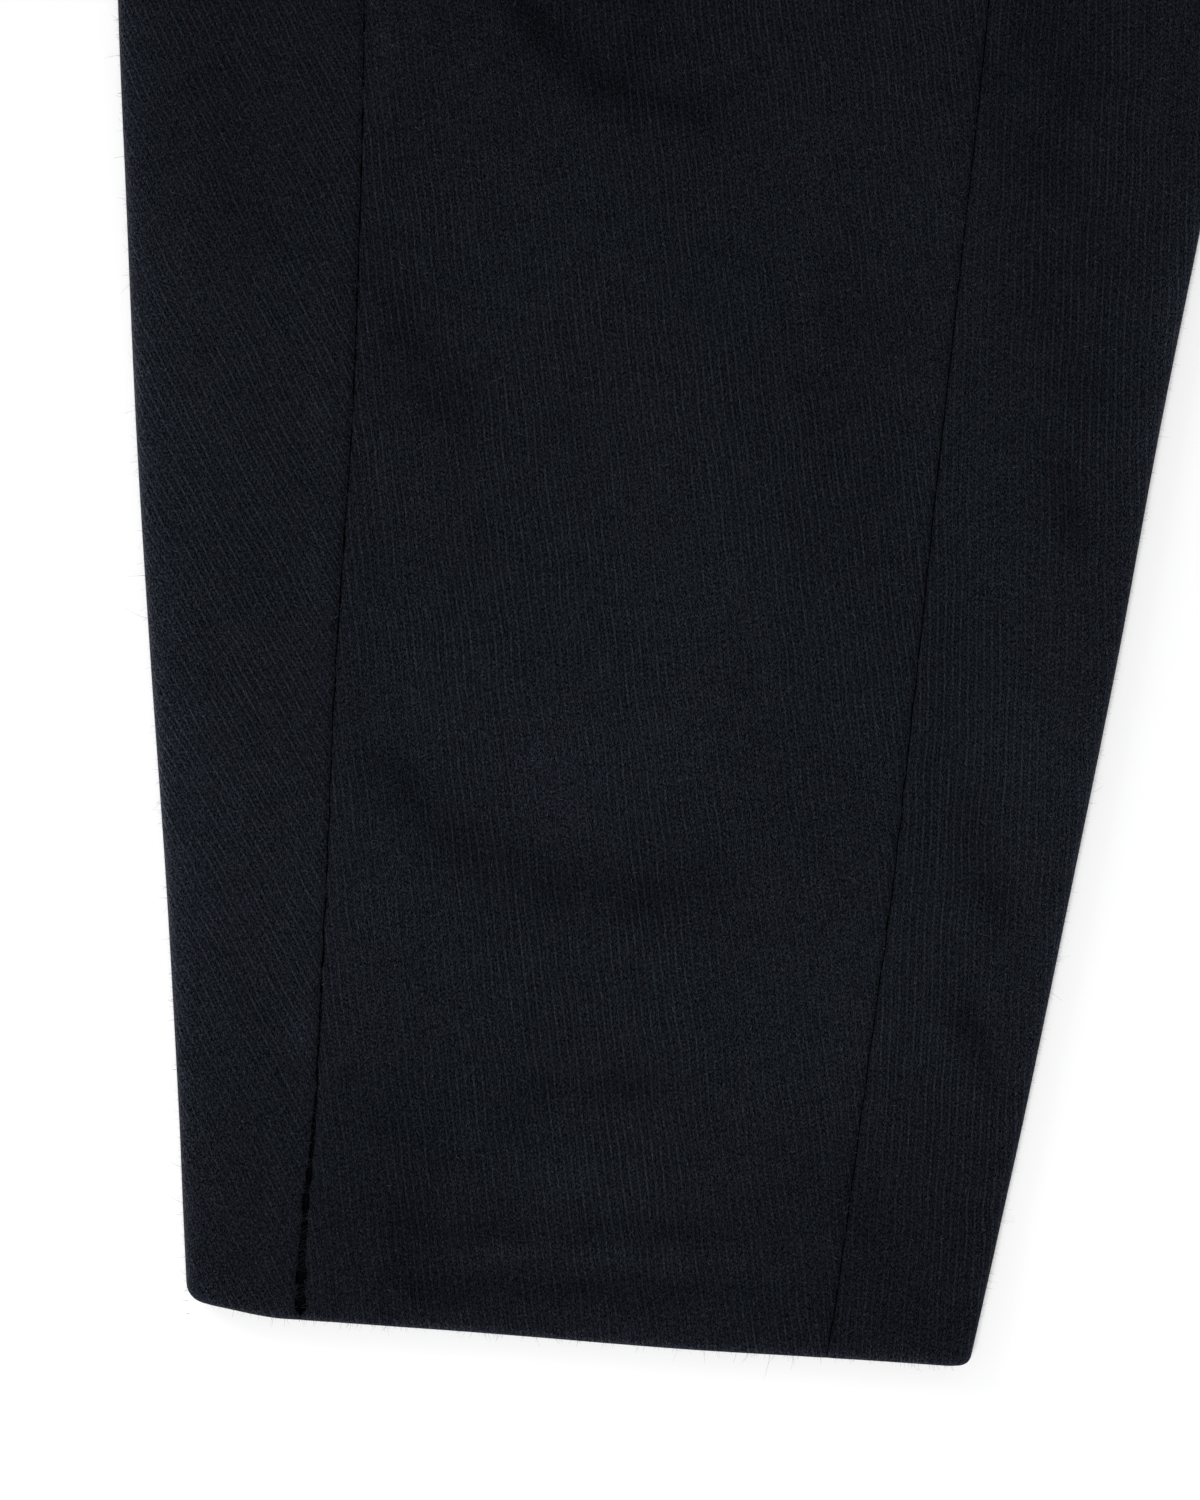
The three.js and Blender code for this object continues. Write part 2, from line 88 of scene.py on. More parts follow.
HEM_STEP = 8  # the turned-up layer thins out more softly than in the CAD
HEM_LAYER = 0.7
HEM_SQUEEZE = 0.6
HEM_CORNER = 4
INNER_CORNER = 2.4  # the inner corner is a little sharper than in the CAD
VENT_TOP = 47  # the hem's drop and tuck fade out up to here
SLIT_WIDTH = 2.85  # the slit gapes a little wider and higher than in the CAD
SLIT_TOP = 56
SLIT_PINCH = 0.4  # the bars of thread draw it in by this share,
PINCH_REACH = 1.3  # over this height to each side of a bar
SLIT_FOOT = (3.5, 5.4)  # below these heights it is sewn shut, next to the hem's edge
BAND_HEIGHT = 38
BAND_WALL = 2.4
BAND_SPACE = 0.6
BAND_HALF = 218
OVERLAP = 34
UNDERLAP = 20
FLY_BOTTOM = 775
FLY_EASE = 25
FLY_OVERLAP = 6
FLY_LIFT = CLOTH + SEAM_GAP
FLY_PAD = 0.7
FLY_PAD_REACH = 26
FLY_PAD_RISE = 35
FLY_RAMP = (8, 20)  # the overlapping front comes down between these distances from the centre
BAND_PRESS = (45, 5)
BAND_RAMP = (24, 64)
BUTTON_RADIUS = 7.5
BUTTON_THICK = 2.6
BUTTON_OFF_CENTRE = 20
HOLE_OFFSET = 1.35  # the button's four holes, out from its middle along each axis
HOLE_RADIUS = 0.72
BUTTONHOLE_HALF = 12
BAND_RIM = [0, 0.35, 0.8, 1.4, 2.2]  # rows over the band's rounded edge
HEIGHT_OF_ORIGIN = 502.3

COLUMNS = ("height", "outer", "outer_seam", "inner_seam", "inner")
OUTLINE = [
    (-12, 311.2, 287.6, 171.7, 139.6),
    (0, 311.9, 287.3, 169.3, 136.9),
    (25, 313.1, 286.1, 165.6, 131.3),
    (50, 314.2, 283.8, 162.3, 125.8),
    (100, 317.0, 281.3, 155.4, 115.5),
    (150, 320.5, 279.1, 149.8, 105.4),
    (200, 323.6, 275.7, 144.5, 96.2),
    (250, 325.8, 273.8, 139.0, 86.1),
    (300, 327.8, 272.7, 133.7, 76.0),
    (400, 329.4, 270.0, 124.0, 55.6),
    (500, 326.6, 266.0, 110.0, 35.6),
    (600, 317.5, 258.0, 86.0, 16.6),
    (650, 310.5, 252.5, 64.0, 8.0),
    (685, 304.5, 247.8, 35.0, 2.4),
    (700, 301.5, 245.5, 12.0, 0.15),
    (800, 279.5, 228.5, 12.0, 0.15),
    (870, 258.0, 210.0, 12.0, 0.15),
    (920, 237.0, 192.0, 12.0, 0.15),
    (960, 218.0, 177.0, 12.0, 0.15),
]

# Soft ridges (up) and troughs (down): from x0, y0 to x1, y1, bowed sideways, with a half width.
FOLD_COLUMNS = ("x0", "y0", "x1", "y1", "bow", "wide", "up")
FOLDS = [
    # wearer's right leg, from the hem up
    (-243, 52, -196, 53, 6, 9, -0.8),
    (-272, 62, -271, 18, 0, 10, -0.7),
    (-236, 32, -206, 31, 0, 11, 0.6),
    (-274, 136, -196, 104, -14, 10, -1.1),
    (-262, 158, -196, 134, -10, 15, 1.0),
    (-180, 214, -166, 158, 0, 14, -0.8),
    (-268, 234, -246, 196, 0, 9, -0.8),
    (-262, 330, -190, 268, -10, 11, -1.1),
    (-142, 128, -130, 90, 0, 8, -0.8),
    (-119, 192, -110, 166, 0, 7, -0.7),
    (-290, 420, -190, 352, -12, 16, 2.2),
    (-240, 470, -120, 395, -16, 14, -1.1),
    (-110, 500, -200, 415, 12, 16, 1.9),
    (-280, 560, -205, 478, -10, 18, 2.0),
    (-30, 676, -150, 560, 16, 14, 2.6),
    (-44, 640, -118, 525, 10, 12, 1.6),
    (-24, 716, -195, 668, 14, 15, 2.8),
    (-40, 738, -170, 742, 8, 12, 1.6),
    (-190, 610, -270, 655, 10, 16, 1.5),
    (-228, 730, -150, 800, -8, 15, 1.4),
    (-200, 880, -120, 905, 6, 14, 1.0),
    # wearer's left leg
    (276, 118, 188, 96, 12, 11, -1.0),
    (266, 150, 190, 124, 10, 15, 1.1),
    (182, 204, 160, 148, 4, 13, -0.8),
    (258, 258, 196, 214, 8, 13, 1.0),
    (268, 318, 178, 286, 10, 12, -1.1),
    (286, 392, 176, 336, 14, 16, 2.0),
    (112, 482, 214, 400, -12, 16, 2.2),
    (236, 492, 140, 430, 10, 13, -1.0),
    (292, 540, 198, 486, 12, 17, 1.7),
    (28, 672, 142, 540, -16, 15, 2.4),
    (52, 628, 106, 506, -8, 12, 1.8),
    (26, 712, 206, 652, -16, 15, 2.9),
    (44, 744, 160, 736, -8, 12, 1.4),
    (196, 596, 276, 636, -10, 16, 1.3),
    (232, 716, 142, 792, 8, 15, 1.6),
    (186, 890, 112, 898, -6, 14, 0.9),
]

# Painted shade (-) and painted light (+) of the folds, the outer seam and the hem, along lines given as
# for the folds.
PAINTED_SHADING = [
    # beside the folds of the lower leg
    (-252, 316, -192, 271, -11, 4.8, -0.42),
    (-222, 302, -200, 286, 0, 16, -0.16),
    (-176, 330, -178, 312, 0, 5, -0.15),
    (-266, 236, -249, 200, 0, 8.5, -0.20),
    (-165, 235, -160, 165, 0, 13, -0.12),
    (-219, 195, -233, 206, 0, 5, -0.12),
    (-270, 131, -193, 100, -15, 6.2, -0.28),
    (-236, 134, -190, 124, 0, 12, 0.05),
    (-122, 300, -116, 200, 0, 13, -0.19),
    (-100, 190, -88, 250, 0, 5, 0.20),
    (-118, 197, -115, 175, 0, 4, -0.28),
    (-137, 136, -118, 122, 0, 9, 0.08),
    (-141, 119, -131, 90, 0, 4.5, -0.24),
    (-142, 66, -135, 68, 0, 11, -0.28),
    (-305, 300, -303, 240, 0, 9, -0.10),
    (-320, 250, -306, 80, 0, 18, 0.09),
    # along the outer seam
    (-284, 237, -283, 154, 0, 2.4, 0.12),
    (-268, 298, -268, 266, 0, 2.6, 0.15),
    (-270, 200, -269, 178, 0, 2.6, 0.10),
    (-287, 70, -287, 60, 0, 3, 0.22),
    # over the hem
    (-267, 56, -262, 8, 0, 11, -0.19),
    (-172, 40, -160, 5, 0, 12, -0.13),
    (-243, 40, -238, 51, 0, 3.2, -0.14),
    (-238, 54, -204, 54, 0, 3.2, -0.18),
    (-234, 34, -210, 33, 0, 4, 0.14),
    (-262, 23, -190, 21.5, 0, 2.8, -0.19),
    (-252, 17.5, -205, 17, 0, 2.4, 0.18),
    (-262, 10.5, -178, 9, 0, 3, -0.20),
]
MIRRORED_SHIFT = 14  # the other leg has the same tones, mirrored and this much higher
TONE_UNEVEN = 0.45  # how far these tones come and go
FOLD_LIGHT_PER_MM = 0.05  # painted light on the ridges of the folds and painted shade in their troughs, by this for each millimetre of their height
SEAM_SHADE = -0.12  # painted shade along each seam, widening the shade of its groove
SEAM_SHADE_WIDTH = 0.9
HEM_SHADE_ROWS = [(HEM_DEPTH, 3, -0.03), (9, 3.5, -0.06)]  # painted shade in rows across the hem: height, width, tone
# Painted highlights, in (strength, reach): at both folded edges, more at the outer one, and at the hem's
# fold.
EDGE_HIGHLIGHTS = [(0.6, 1.3), (0.9, 0.85)]
OUTER_HIGHLIGHTS = [(0.35, 6)]
HEM_HIGHLIGHTS = [(0.7, 1.2), (0.7, 0.9)]

# ------------------------------------------------------------------ the cloth's own sizes
RIB_PITCH = 1.78  # from one rib of the twill to the next
# Lean of the ribs from the +Y axis, in degrees, + to the right going up, seen from above. The two
# legs are cut from the same face of the cloth, so their ribs lean the same way, not mirrored.
RIB_LEAN = {
    "front_right": -6.8,
    "front_left": -16.4,
    "back_right": 20.7,
    "back_left": 11.3,
    "waistband": 72.0,
}
SEAM_SPREAD = 6.2  # a seam's allowances are pressed open this far to each side
SEAM_TIGHT = 3  # and the seam's gap closes this far above the hem
SEAM_STEP = 0.4  # how much they lift the cloth
SEAM_DIP = 0.55  # how far the cloth rolls down into a seam
SEAM_ROLL = 0.7  # half width of that roll
SEAM_PUCKER = 0.1  # height of the puckers along a seam
PUCKER_REACH = 9
SEAM_WOBBLE = 0.1  # no seam is quite straight
LADDER_TOP = 110  # above the slit the outer seam is pulled apart between its stitches, up to here
LADDER_PITCH = 6.1
LADDER_GAP = 0.42

INSIDE_SHADE = -1.4  # the inside faces of the cloth get painted shade, for the shade inside the leg
INSIDE_SHIFT = 1.2  # and its weave is shifted, so that the weave runs on over the rims
STRIP_RIBS = 0.95  # the ribs show less where the backs come round to the front
CENTRE_GAP = 0.005  # half the width of the centre seams, which are drawn closed
CENTRE_SHIFT = 0.05  # the fronts' centre seam lies beside the backs', so no light comes through both
CROTCH_STEP = 0.4  # the seams across the crotch run level
HEM_ROWS = [0, 0.2, 0.5, 0.9, 1.5, 2.3, 3.2, 4.2]  # close together over the hem's fold
FINE_TOP = 300  # below this height the rows lie closer together
FINE_STEP = 2.0
COARSE_STEP = 4.0
# Distances in from a seam: close together over the seam's own relief.
NEAR_SEAM = np.array([0, 0.3, 0.65, 1.0, 1.5, 2.2, 3.2, 4.3, 5.2, 6.0, 6.8, 7.6, 8.6])
FRONT_STEPS = 28
STRIP_STEPS = 14
ARC_STEPS = 10
UNDER_STEPS = 16

# The slit's thread bars: height over the hem's middle, and how many threads each has.
SLIT_BARS = [(9.4, 5), (15.6, 4), (18.0, 4), (20.4, 4), (22.8, 3), (25.6, 3), (31.8, 3), (37.8, 3)]
THREAD_RADIUS = 0.08
BAR_BITE = 0.55  # how far a bar reaches over the cloth at each side of the slit
BAR_PITCH = 0.56  # from one thread of a bar to the next
BAR_SLANT = (0.9, 0.55)  # their usual slant, and how much it varies
HAIRS_PER_MM = 1.5  # loose hairs on each folded edge of a leg
HEM_HAIRS = 420
# Loose fibres on each leg, lying between two heights: how many, and the seed of their places.
FIBRES = {"lower_fibres": (0, 420, 2500, 50), "upper_fibres": (420, 950, 900, 60)}


# ------------------------------------------------------------------ form, worked out as in the CAD
def ease(low, high, value):
    share = np.clip((np.asarray(value, float) - low) / (high - low), 0, 1)
    return share * share * (3 - 2 * share)


def bell(distance, width):
    """A soft hump: 1 in its middle, and near 0 two widths away."""
    return np.exp(-((distance / width) ** 2))


def edge_highlight(distance, painted_highlights):
    """How much lighter a painted highlight makes the cloth at a distance: each has a strength and a reach.
    """
    return sum(strength * np.exp(-distance / reach) for strength, reach in painted_highlights)


def outline_at(column, height):
    """A column of the outline at any heights, on a smooth curve through the table's rows."""
    rows = np.array(OUTLINE)
    heights = rows[:, 0]
    values = rows[:, COLUMNS.index(column)]
    slopes = np.gradient(values, heights)
    slopes[1:-1] = (values[2:] - values[:-2]) / (heights[2:] - heights[:-2])
    at = np.clip(np.asarray(height, float), heights[0], heights[-1])
    i = np.clip(np.searchsorted(heights, at, side="right") - 1, 0, len(heights) - 2)
    step = heights[i + 1] - heights[i]
    t = (at - heights[i]) / step
    curve = (2 * t**3 - 3 * t**2 + 1) * values[i] + (3 * t**2 - 2 * t**3) * values[i + 1]
    lean = (t**3 - 2 * t**2 + t) * slopes[i] + (t**3 - t**2) * slopes[i + 1]
    wobble = SEAM_WOBBLE * ripple(0 * at, at, 9, 43) if column.endswith("seam") else 0
    return curve + lean * step + wobble


def slope_at(column, height):
    return (outline_at(column, height + 2) - outline_at(column, height - 2)) / 4


def height_on_row(row, out):
    slope = HEM_SLOPE * (1 - ease(0, SLOPE_END, row))
    middle = (outline_at("outer", row) + outline_at("inner", row)) / 2
    tuck = HEM_TUCK * (1 - ease(0, TUCK_REACH, outline_at("outer", row) - out))
    sag = HEM_SAG * bell(out - SAG_AT, SAG_WIDTH)
    return row + slope * (out - middle) + (tuck - sag - HEM_DROP) * (1 - ease(0, VENT_TOP, row))


def meet(column, row):
    """Where a row of the leg meets an edge or seam."""
    out = outline_at(column, row)
    for _ in range(3):
        out = outline_at(column, height_on_row(row, out))
    return out


def corner_inset(row, corner=HEM_CORNER):
    missing = np.clip(corner - row, 0, corner)
    return corner - np.sqrt(corner**2 - missing**2)


def in_hem(row):
    return 1 - ease(HEM_DEPTH - HEM_STEP, HEM_DEPTH + HEM_STEP, row)


def wall_at(row):
    return CLOTH + HEM_LAYER * in_hem(row)


def roll_inset(row):
    """How far the rounded fold at the hem draws in both faces of the wall."""
    round_off = wall_at(row) * 0.48
    missing = np.clip(round_off - row, 0, round_off)
    return round_off - np.sqrt(round_off**2 - missing**2)


def fold_radius(row):
    return wall_at(row) + (EDGE_GAP - HEM_SQUEEZE * in_hem(row)) / 2


def seam_half(row):
    """Half the width of a closed seam; it is sewn tight at the hem."""
    return CENTRE_GAP + (SEAM_GAP / 2 - CENTRE_GAP) * ease(0, SEAM_TIGHT, row)


def vent_half(y):
    """Half the width of the slit, or of the outer seam above it."""
    open_width = SLIT_WIDTH * (1 - (np.clip(y, 0, SLIT_TOP) / SLIT_TOP) ** 1.6)
    bars = np.array([height for height, _ in SLIT_BARS])
    nearest = np.min(np.abs(np.asarray(y, float)[..., None] - bars), axis=-1)
    open_width = open_width * (1 - SLIT_PINCH * bell(nearest, PINCH_REACH))
    pulled = (0.5 - 0.5 * np.cos(2 * math.pi * y / LADDER_PITCH)) ** 2
    fade = ease(SLIT_TOP - 22, SLIT_TOP - 8, y) * (1 - ease(SLIT_TOP, LADDER_TOP, y))
    uneven = 0.08 * ripple(0 * y, y, 5, 27)
    half = np.maximum(open_width, SEAM_GAP) / 2 + LADDER_GAP / 2 * pulled * fade + uneven
    return CENTRE_GAP + (half - CENTRE_GAP) * ease(*SLIT_FOOT, y)


def waist_bow(row, depth, out):
    share = np.clip(out / outline_at("outer", row), 0, 1)
    return depth * ease(HIP, WAIST, row) * (1 - share**2)


def row_at(y, out, depth):
    """The row that passes a place: height_on_row and waist_bow turned round."""
    row = np.array(y, float)
    for _ in range(4):
        row = row - (height_on_row(row, out) + waist_bow(row, depth, out) - y)
    return row


def fold_height(fold, x, y):
    f = dict(zip(FOLD_COLUMNS, fold))
    run_x, run_y = f["x1"] - f["x0"], f["y1"] - f["y0"]
    length = math.hypot(run_x, run_y)
    along = ((x - f["x0"]) * run_x + (y - f["y0"]) * run_y) / length**2
    inside = np.clip(along, 0, 1)
    bowed = f["bow"] * 4 * inside * (1 - inside)
    aside = ((y - f["y0"]) * run_x - (x - f["x0"]) * run_y) / length - bowed
    beyond = (along - inside) * length
    fade = ease(-0.35, 0.3, along) * ease(-0.35, 0.3, 1 - along)
    return f["up"] * fade * np.exp(-(aside**2 + beyond**2) / f["wide"] ** 2)


def ripple(x, y, size, seed):
    """Smooth unevenness from -1 to 1 or so, with features of about the given size."""
    draw = np.random.default_rng(seed)
    total = 0
    for _ in range(7):
        angle = draw.uniform(0, 2 * math.pi)
        pace = 2 * math.pi / (size * draw.uniform(0.8, 1.9))
        phase = draw.uniform(0, 2 * math.pi)
        total = total + np.sin((x * math.cos(angle) + y * math.sin(angle)) * pace + phase)
    return total / math.sqrt(7)


def to_edge(out, y):
    """How far a place on the upper layer is from the nearest folded edge of the leg."""
    to_outer = outline_at("outer", y) - out
    to_inner = np.hypot(out - outline_at("inner", y), np.maximum(0, y - CROTCH))
    return np.minimum(to_outer, to_inner)


def space_at(side, out, y, row):
    """The free height between the lower and the upper layer."""
    x = side * out
    space = LIE_GAP + 0.16 * ripple(x, y, 38, 3) + 0.07 * ripple(x, y, 13, 4)
    for fold in FOLDS:
        space = space + fold_height(fold, x, y)
    aside = 1 - ease(FLY_PAD_REACH / 2, FLY_PAD_REACH, out)
    over_fly = ease(FLY_BOTTOM - FLY_PAD_RISE, FLY_BOTTOM, y) * aside
    under_band = ease(WAIST - BAND_PRESS[0], WAIST - BAND_PRESS[1], row)
    space = space + (LIE_GAP + FLY_PAD - space) * np.maximum(over_fly, under_band)
    # a soft floor, so that deep troughs end in a curve and not in a flat
    space = SEAM_GAP + np.logaddexp(0, (space - SEAM_GAP) * 4) / 4
    lifted = 1 - ease(fold_radius(row), EDGE_REACH, to_edge(out, y))
    return space + (EDGE_GAP - space) * lifted - HEM_SQUEEZE * in_hem(row)


def seam_distance(out, y):
    """How far a place on the upper layer is from the nearest cut edge of its piece."""
    to_outer = np.maximum(np.abs(out - outline_at("outer_seam", y)) - vent_half(y), 0)
    to_inner = np.abs(out - outline_at("inner_seam", y))
    return np.minimum(to_outer, np.where(y < CROTCH, to_inner, np.abs(out)))


def seam_relief(side, out, y):
    """Allowances pressed open under the cloth, and the roll of its edge down into the seam."""
    away = seam_distance(out, y)
    uneven = 0.75 + 0.35 * ripple(side * out * 0.3, y, 46, 9)
    spread = SEAM_SPREAD + 0.8 * ripple(side * out * 0.2, y, 30, 12)
    step = SEAM_STEP * uneven * (1 - ease(spread - 1.3, spread + 1.3, away))
    pucker = SEAM_PUCKER * ripple(side * out * 0.2, y, 11, 15) * bell(away, PUCKER_REACH)
    return step + pucker - SEAM_DIP * bell(away, SEAM_ROLL)


def upper_face(side, out, row, lift=0):
    """Place along Y of a point of the upper layer, and the height of its top over the table."""
    y = height_on_row(row, out) + waist_bow(row, -FRONT_DIP, out)
    top = 2 * wall_at(row) + space_at(side, out, y, row) + lift
    return y, top + seam_relief(side, out, y) * ease(2.5, 9, to_edge(out, y))


def surface_at(x, y):
    """Height of the slacks' top face at a place of the picture plane."""
    out = np.abs(x)
    return upper_face(np.sign(x), out, row_at(y, out, -FRONT_DIP))[1]


def tone_at(side, out, y, row, on_top=1):
    """How much lighter or darker the cloth is painted: painted shade and light along the folds, painted
    shade at the seams and across the hem, and painted highlights along the edges."""
    x = -out  # the lines of PAINTED_SHADING lie on the wearer's right leg
    level = y if side < 0 else y - MIRRORED_SHIFT
    tone = 0
    # painted shade and light of the folds, seam and hem
    for line in PAINTED_SHADING:
        tone = tone + fold_height(line, x, level)
    tone = tone * (1 + TONE_UNEVEN * ripple(x, level, 15, 23))
    for fold in FOLDS:
        # painted light on fold ridges and painted shade in fold troughs
        tone = tone + FOLD_LIGHT_PER_MM * fold_height(fold, side * out, y)
    along_hem = 1 + 0.6 * ripple(side * out, y, 40, 21)
    # painted shade across the hem, at its step and low down
    pressed = sum(depth * bell(row - height, width) for height, width, depth in HEM_SHADE_ROWS)
    # painted shade along the seams
    seam = SEAM_SHADE * bell(seam_distance(out, y), SEAM_SHADE_WIDTH)
    from_outer = np.maximum(outline_at("outer", y) - out, 0)
    near_edge = np.maximum(to_edge(out, y), 0)
    # painted highlights along the folded edges and the hem's fold
    edge_lights = edge_highlight(near_edge, EDGE_HIGHLIGHTS) + edge_highlight(from_outer, OUTER_HIGHLIGHTS) + edge_highlight(row, HEM_HIGHLIGHTS)
    return on_top * (tone + seam) + pressed * along_hem + edge_lights


# ------------------------------------------------------------------ meshes
def new_object(name, data):
    obj = bpy.data.objects.new(name, data)
    bpy.context.scene.collection.objects.link(obj)
    return obj


def add_object(name, mesh, material):
    obj = new_object(name, mesh)
    mesh.materials.append(material)
    mesh.polygons.foreach_set("use_smooth", np.ones(len(mesh.polygons), bool))
    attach(obj, "root")
    return obj


def build_mesh(name, points, faces, uvs=None, shades_and_ribs=None):
    """points in millimetres, heights from the hem; a triangle in faces ends in -1. The last argument
    holds, for each point, its painted shade or light and how far the ribs show."""
    placed = np.asarray(points, float) - np.array([0, HEIGHT_OF_ORIGIN, 0])
    mesh = bpy.data.meshes.new(name)
    faces = np.asarray(faces)
    sizes = np.where(faces[:, 3] < 0, 3, 4)
    corners = faces[faces >= 0]
    mesh.vertices.add(len(placed))
    mesh.vertices.foreach_set("co", (placed * MM).ravel())
    mesh.loops.add(len(corners))
    mesh.loops.foreach_set("vertex_index", corners)
    mesh.polygons.add(len(faces))
    mesh.polygons.foreach_set("loop_start", np.concatenate([[0], np.cumsum(sizes)[:-1]]))
    if uvs is not None:
        layer = mesh.uv_layers.new(name="cloth")
        layer.data.foreach_set("uv", (np.asarray(uvs)[corners] * MM).ravel())
    if shades_and_ribs is not None:
        # the 'nap' attribute carries painted shade and light, and how far the ribs show
        layer = mesh.attributes.new("nap", "FLOAT_VECTOR", "POINT")
        layer.data.foreach_set("vector", np.column_stack([shades_and_ribs, 0 * shades_and_ribs[:, 0]]).ravel())
    mesh.update(calc_edges=True)
    mesh.validate()
    return mesh


def cloth_shell(name, face, back, uv, nap, is_cloth=None, turned=False):
    """A closed thin shell: two grids of points, (rows, columns, 3), joined along every rim."""
    rows, columns = face.shape[:2]
    if is_cloth is None:
        is_cloth = np.ones((rows - 1, columns - 1), bool)
    index = np.arange(rows * columns).reshape(rows, columns)
    corners = [index[:-1, :-1], index[:-1, 1:], index[1:, 1:], index[1:, :-1]]
    quad = np.stack(corners, axis=-1)[is_cloth]
    count = rows * columns
    edges = np.concatenate([quad[:, [k, (k + 1) % 4]] for k in range(4)])
    forward = edges[:, 0].astype(np.int64) * count + edges[:, 1]
    reverse = edges[:, 1].astype(np.int64) * count + edges[:, 0]
    rim = edges[~np.isin(forward, reverse)]
    rim_quads = np.stack([rim[:, 1], rim[:, 0], rim[:, 0] + count, rim[:, 1] + count], axis=-1)
    quads = np.concatenate([quad, quad[:, ::-1] + count, rim_quads])
    if turned:
        quads = quads[:, ::-1]
    points = np.concatenate([face.reshape(-1, 3), back.reshape(-1, 3)])
    uvs = np.concatenate([uv.reshape(-1, 2), uv.reshape(-1, 2) - INSIDE_SHIFT])
    # the inside faces get painted shade, which also darkens the rims of the slit
    inside = nap.reshape(-1, 2) * [0, 1] + [INSIDE_SHADE, 0]
    shades_and_ribs = np.concatenate([nap.reshape(-1, 2), inside])
    used = np.unique(quads)
    renumber = np.full(len(points), -1)
    renumber[used] = np.arange(len(used))
    return build_mesh(name, points[used], renumber[quads], uvs[used], shades_and_ribs[used])


def cut_plane(x, y, lean):
    """Where a point of the cut cloth lies, measured across and along its ribs."""
    angle = math.radians(lean)
    across = x * math.cos(angle) - y * math.sin(angle)
    along = x * math.sin(angle) + y * math.cos(angle)
    return np.stack([across, along], axis=-1)


def place(side, out, y, z):
    return np.stack(np.broadcast_arrays(side * out, y, z), axis=-1)


def shading_of(tone, ribs, like):
    """The painted shade and light, and the ribs' share, of each point of a grid like another one."""
    tone = np.broadcast_to(tone, like.shape[:2])
    return np.stack([tone, np.full(like.shape[:2], float(ribs))], axis=-1)


def leg_rows(crotch_row):
    fine = np.concatenate([np.arange(5, SLIT_TOP, 1.0), np.arange(SLIT_TOP, FINE_TOP, FINE_STEP)])
    below = np.linspace(FINE_TOP, CROTCH - 36, int((CROTCH - FINE_TOP) / COARSE_STEP))
    below = np.concatenate([below, np.arange(CROTCH - 34, CROTCH - 1, 1.5)])
    above = np.linspace(CROTCH + 4, WAIST - SEAM_GAP, int((WAIST - CROTCH) / COARSE_STEP))
    rows = np.concatenate([HEM_ROWS, fine, below, [crotch_row, crotch_row + CROTCH_STEP], above])
    return rows[:, None], len(HEM_ROWS) + len(fine) + len(below)


def from_seam(start, end, steps):
    """Columns from a seam to another place, close together next to the seam."""
    reach = np.abs(end - start)
    near = NEAR_SEAM * np.minimum(1, reach * 0.6 / NEAR_SEAM[-1])
    share = np.linspace(0, 1, steps + 1)[1:]
    rest = near[:, -1:] + (reach - near[:, -1:]) * share
    return start + np.sign(end - start) * np.concatenate([near, rest], axis=1)


def lift_end(row, out):
    """The overlapping front comes down beside the fly, and next to the band along the band's ramp."""
    near_band = ease(WAIST - BAND_PRESS[0], WAIST - BAND_PRESS[1], row)
    low, high = [beside + (below - beside) * near_band for beside, below in zip(FLY_RAMP, BAND_RAMP)]
    return ease(0, 1, (out - low) / (high - low))


def front_piece(name, side, material):
    """A front lies on top, from the outer seam to the inner seam or the centre front."""
    row, crotch_index = leg_rows(CROTCH + SEAM_GAP / 2)
    above = np.arange(len(row))[:, None] > crotch_index
    seam = meet("outer_seam", row)
    start = seam - vent_half(height_on_row(row, seam))
    centre = CENTRE_GAP + side * CENTRE_SHIFT
    end = np.where(above, centre, meet("inner_seam", row) + seam_half(row))
    lift = 0
    if side > 0:
        overlap = np.where(above, ease(FLY_BOTTOM, FLY_BOTTOM + FLY_EASE, row), 0)
        end = end + (-FLY_OVERLAP - end) * overlap
        lift = np.where(above, FLY_LIFT * ease(FLY_BOTTOM - 20, FLY_BOTTOM, row), 0)
    middle = (start + end) / 2
    inward = from_seam(start, middle, FRONT_STEPS)
    outward = from_seam(end, middle, FRONT_STEPS)
    out = np.concatenate([inward, outward[:, -2::-1]], axis=1)
    y, top = upper_face(side, out, row, lift * (1 - lift_end(row, out)))
    inset = roll_inset(row)
    face = place(side, out, y, top - inset)
    back = place(side, out, y, top - wall_at(row) + inset)
    uv = cut_plane(side * out, y - inset, RIB_LEAN[name])
    nap = shading_of(tone_at(side, out, y, row), 1, face)
    mesh = cloth_shell(name, face, back, uv, nap, turned=side > 0)
    return dress(name, mesh, material)


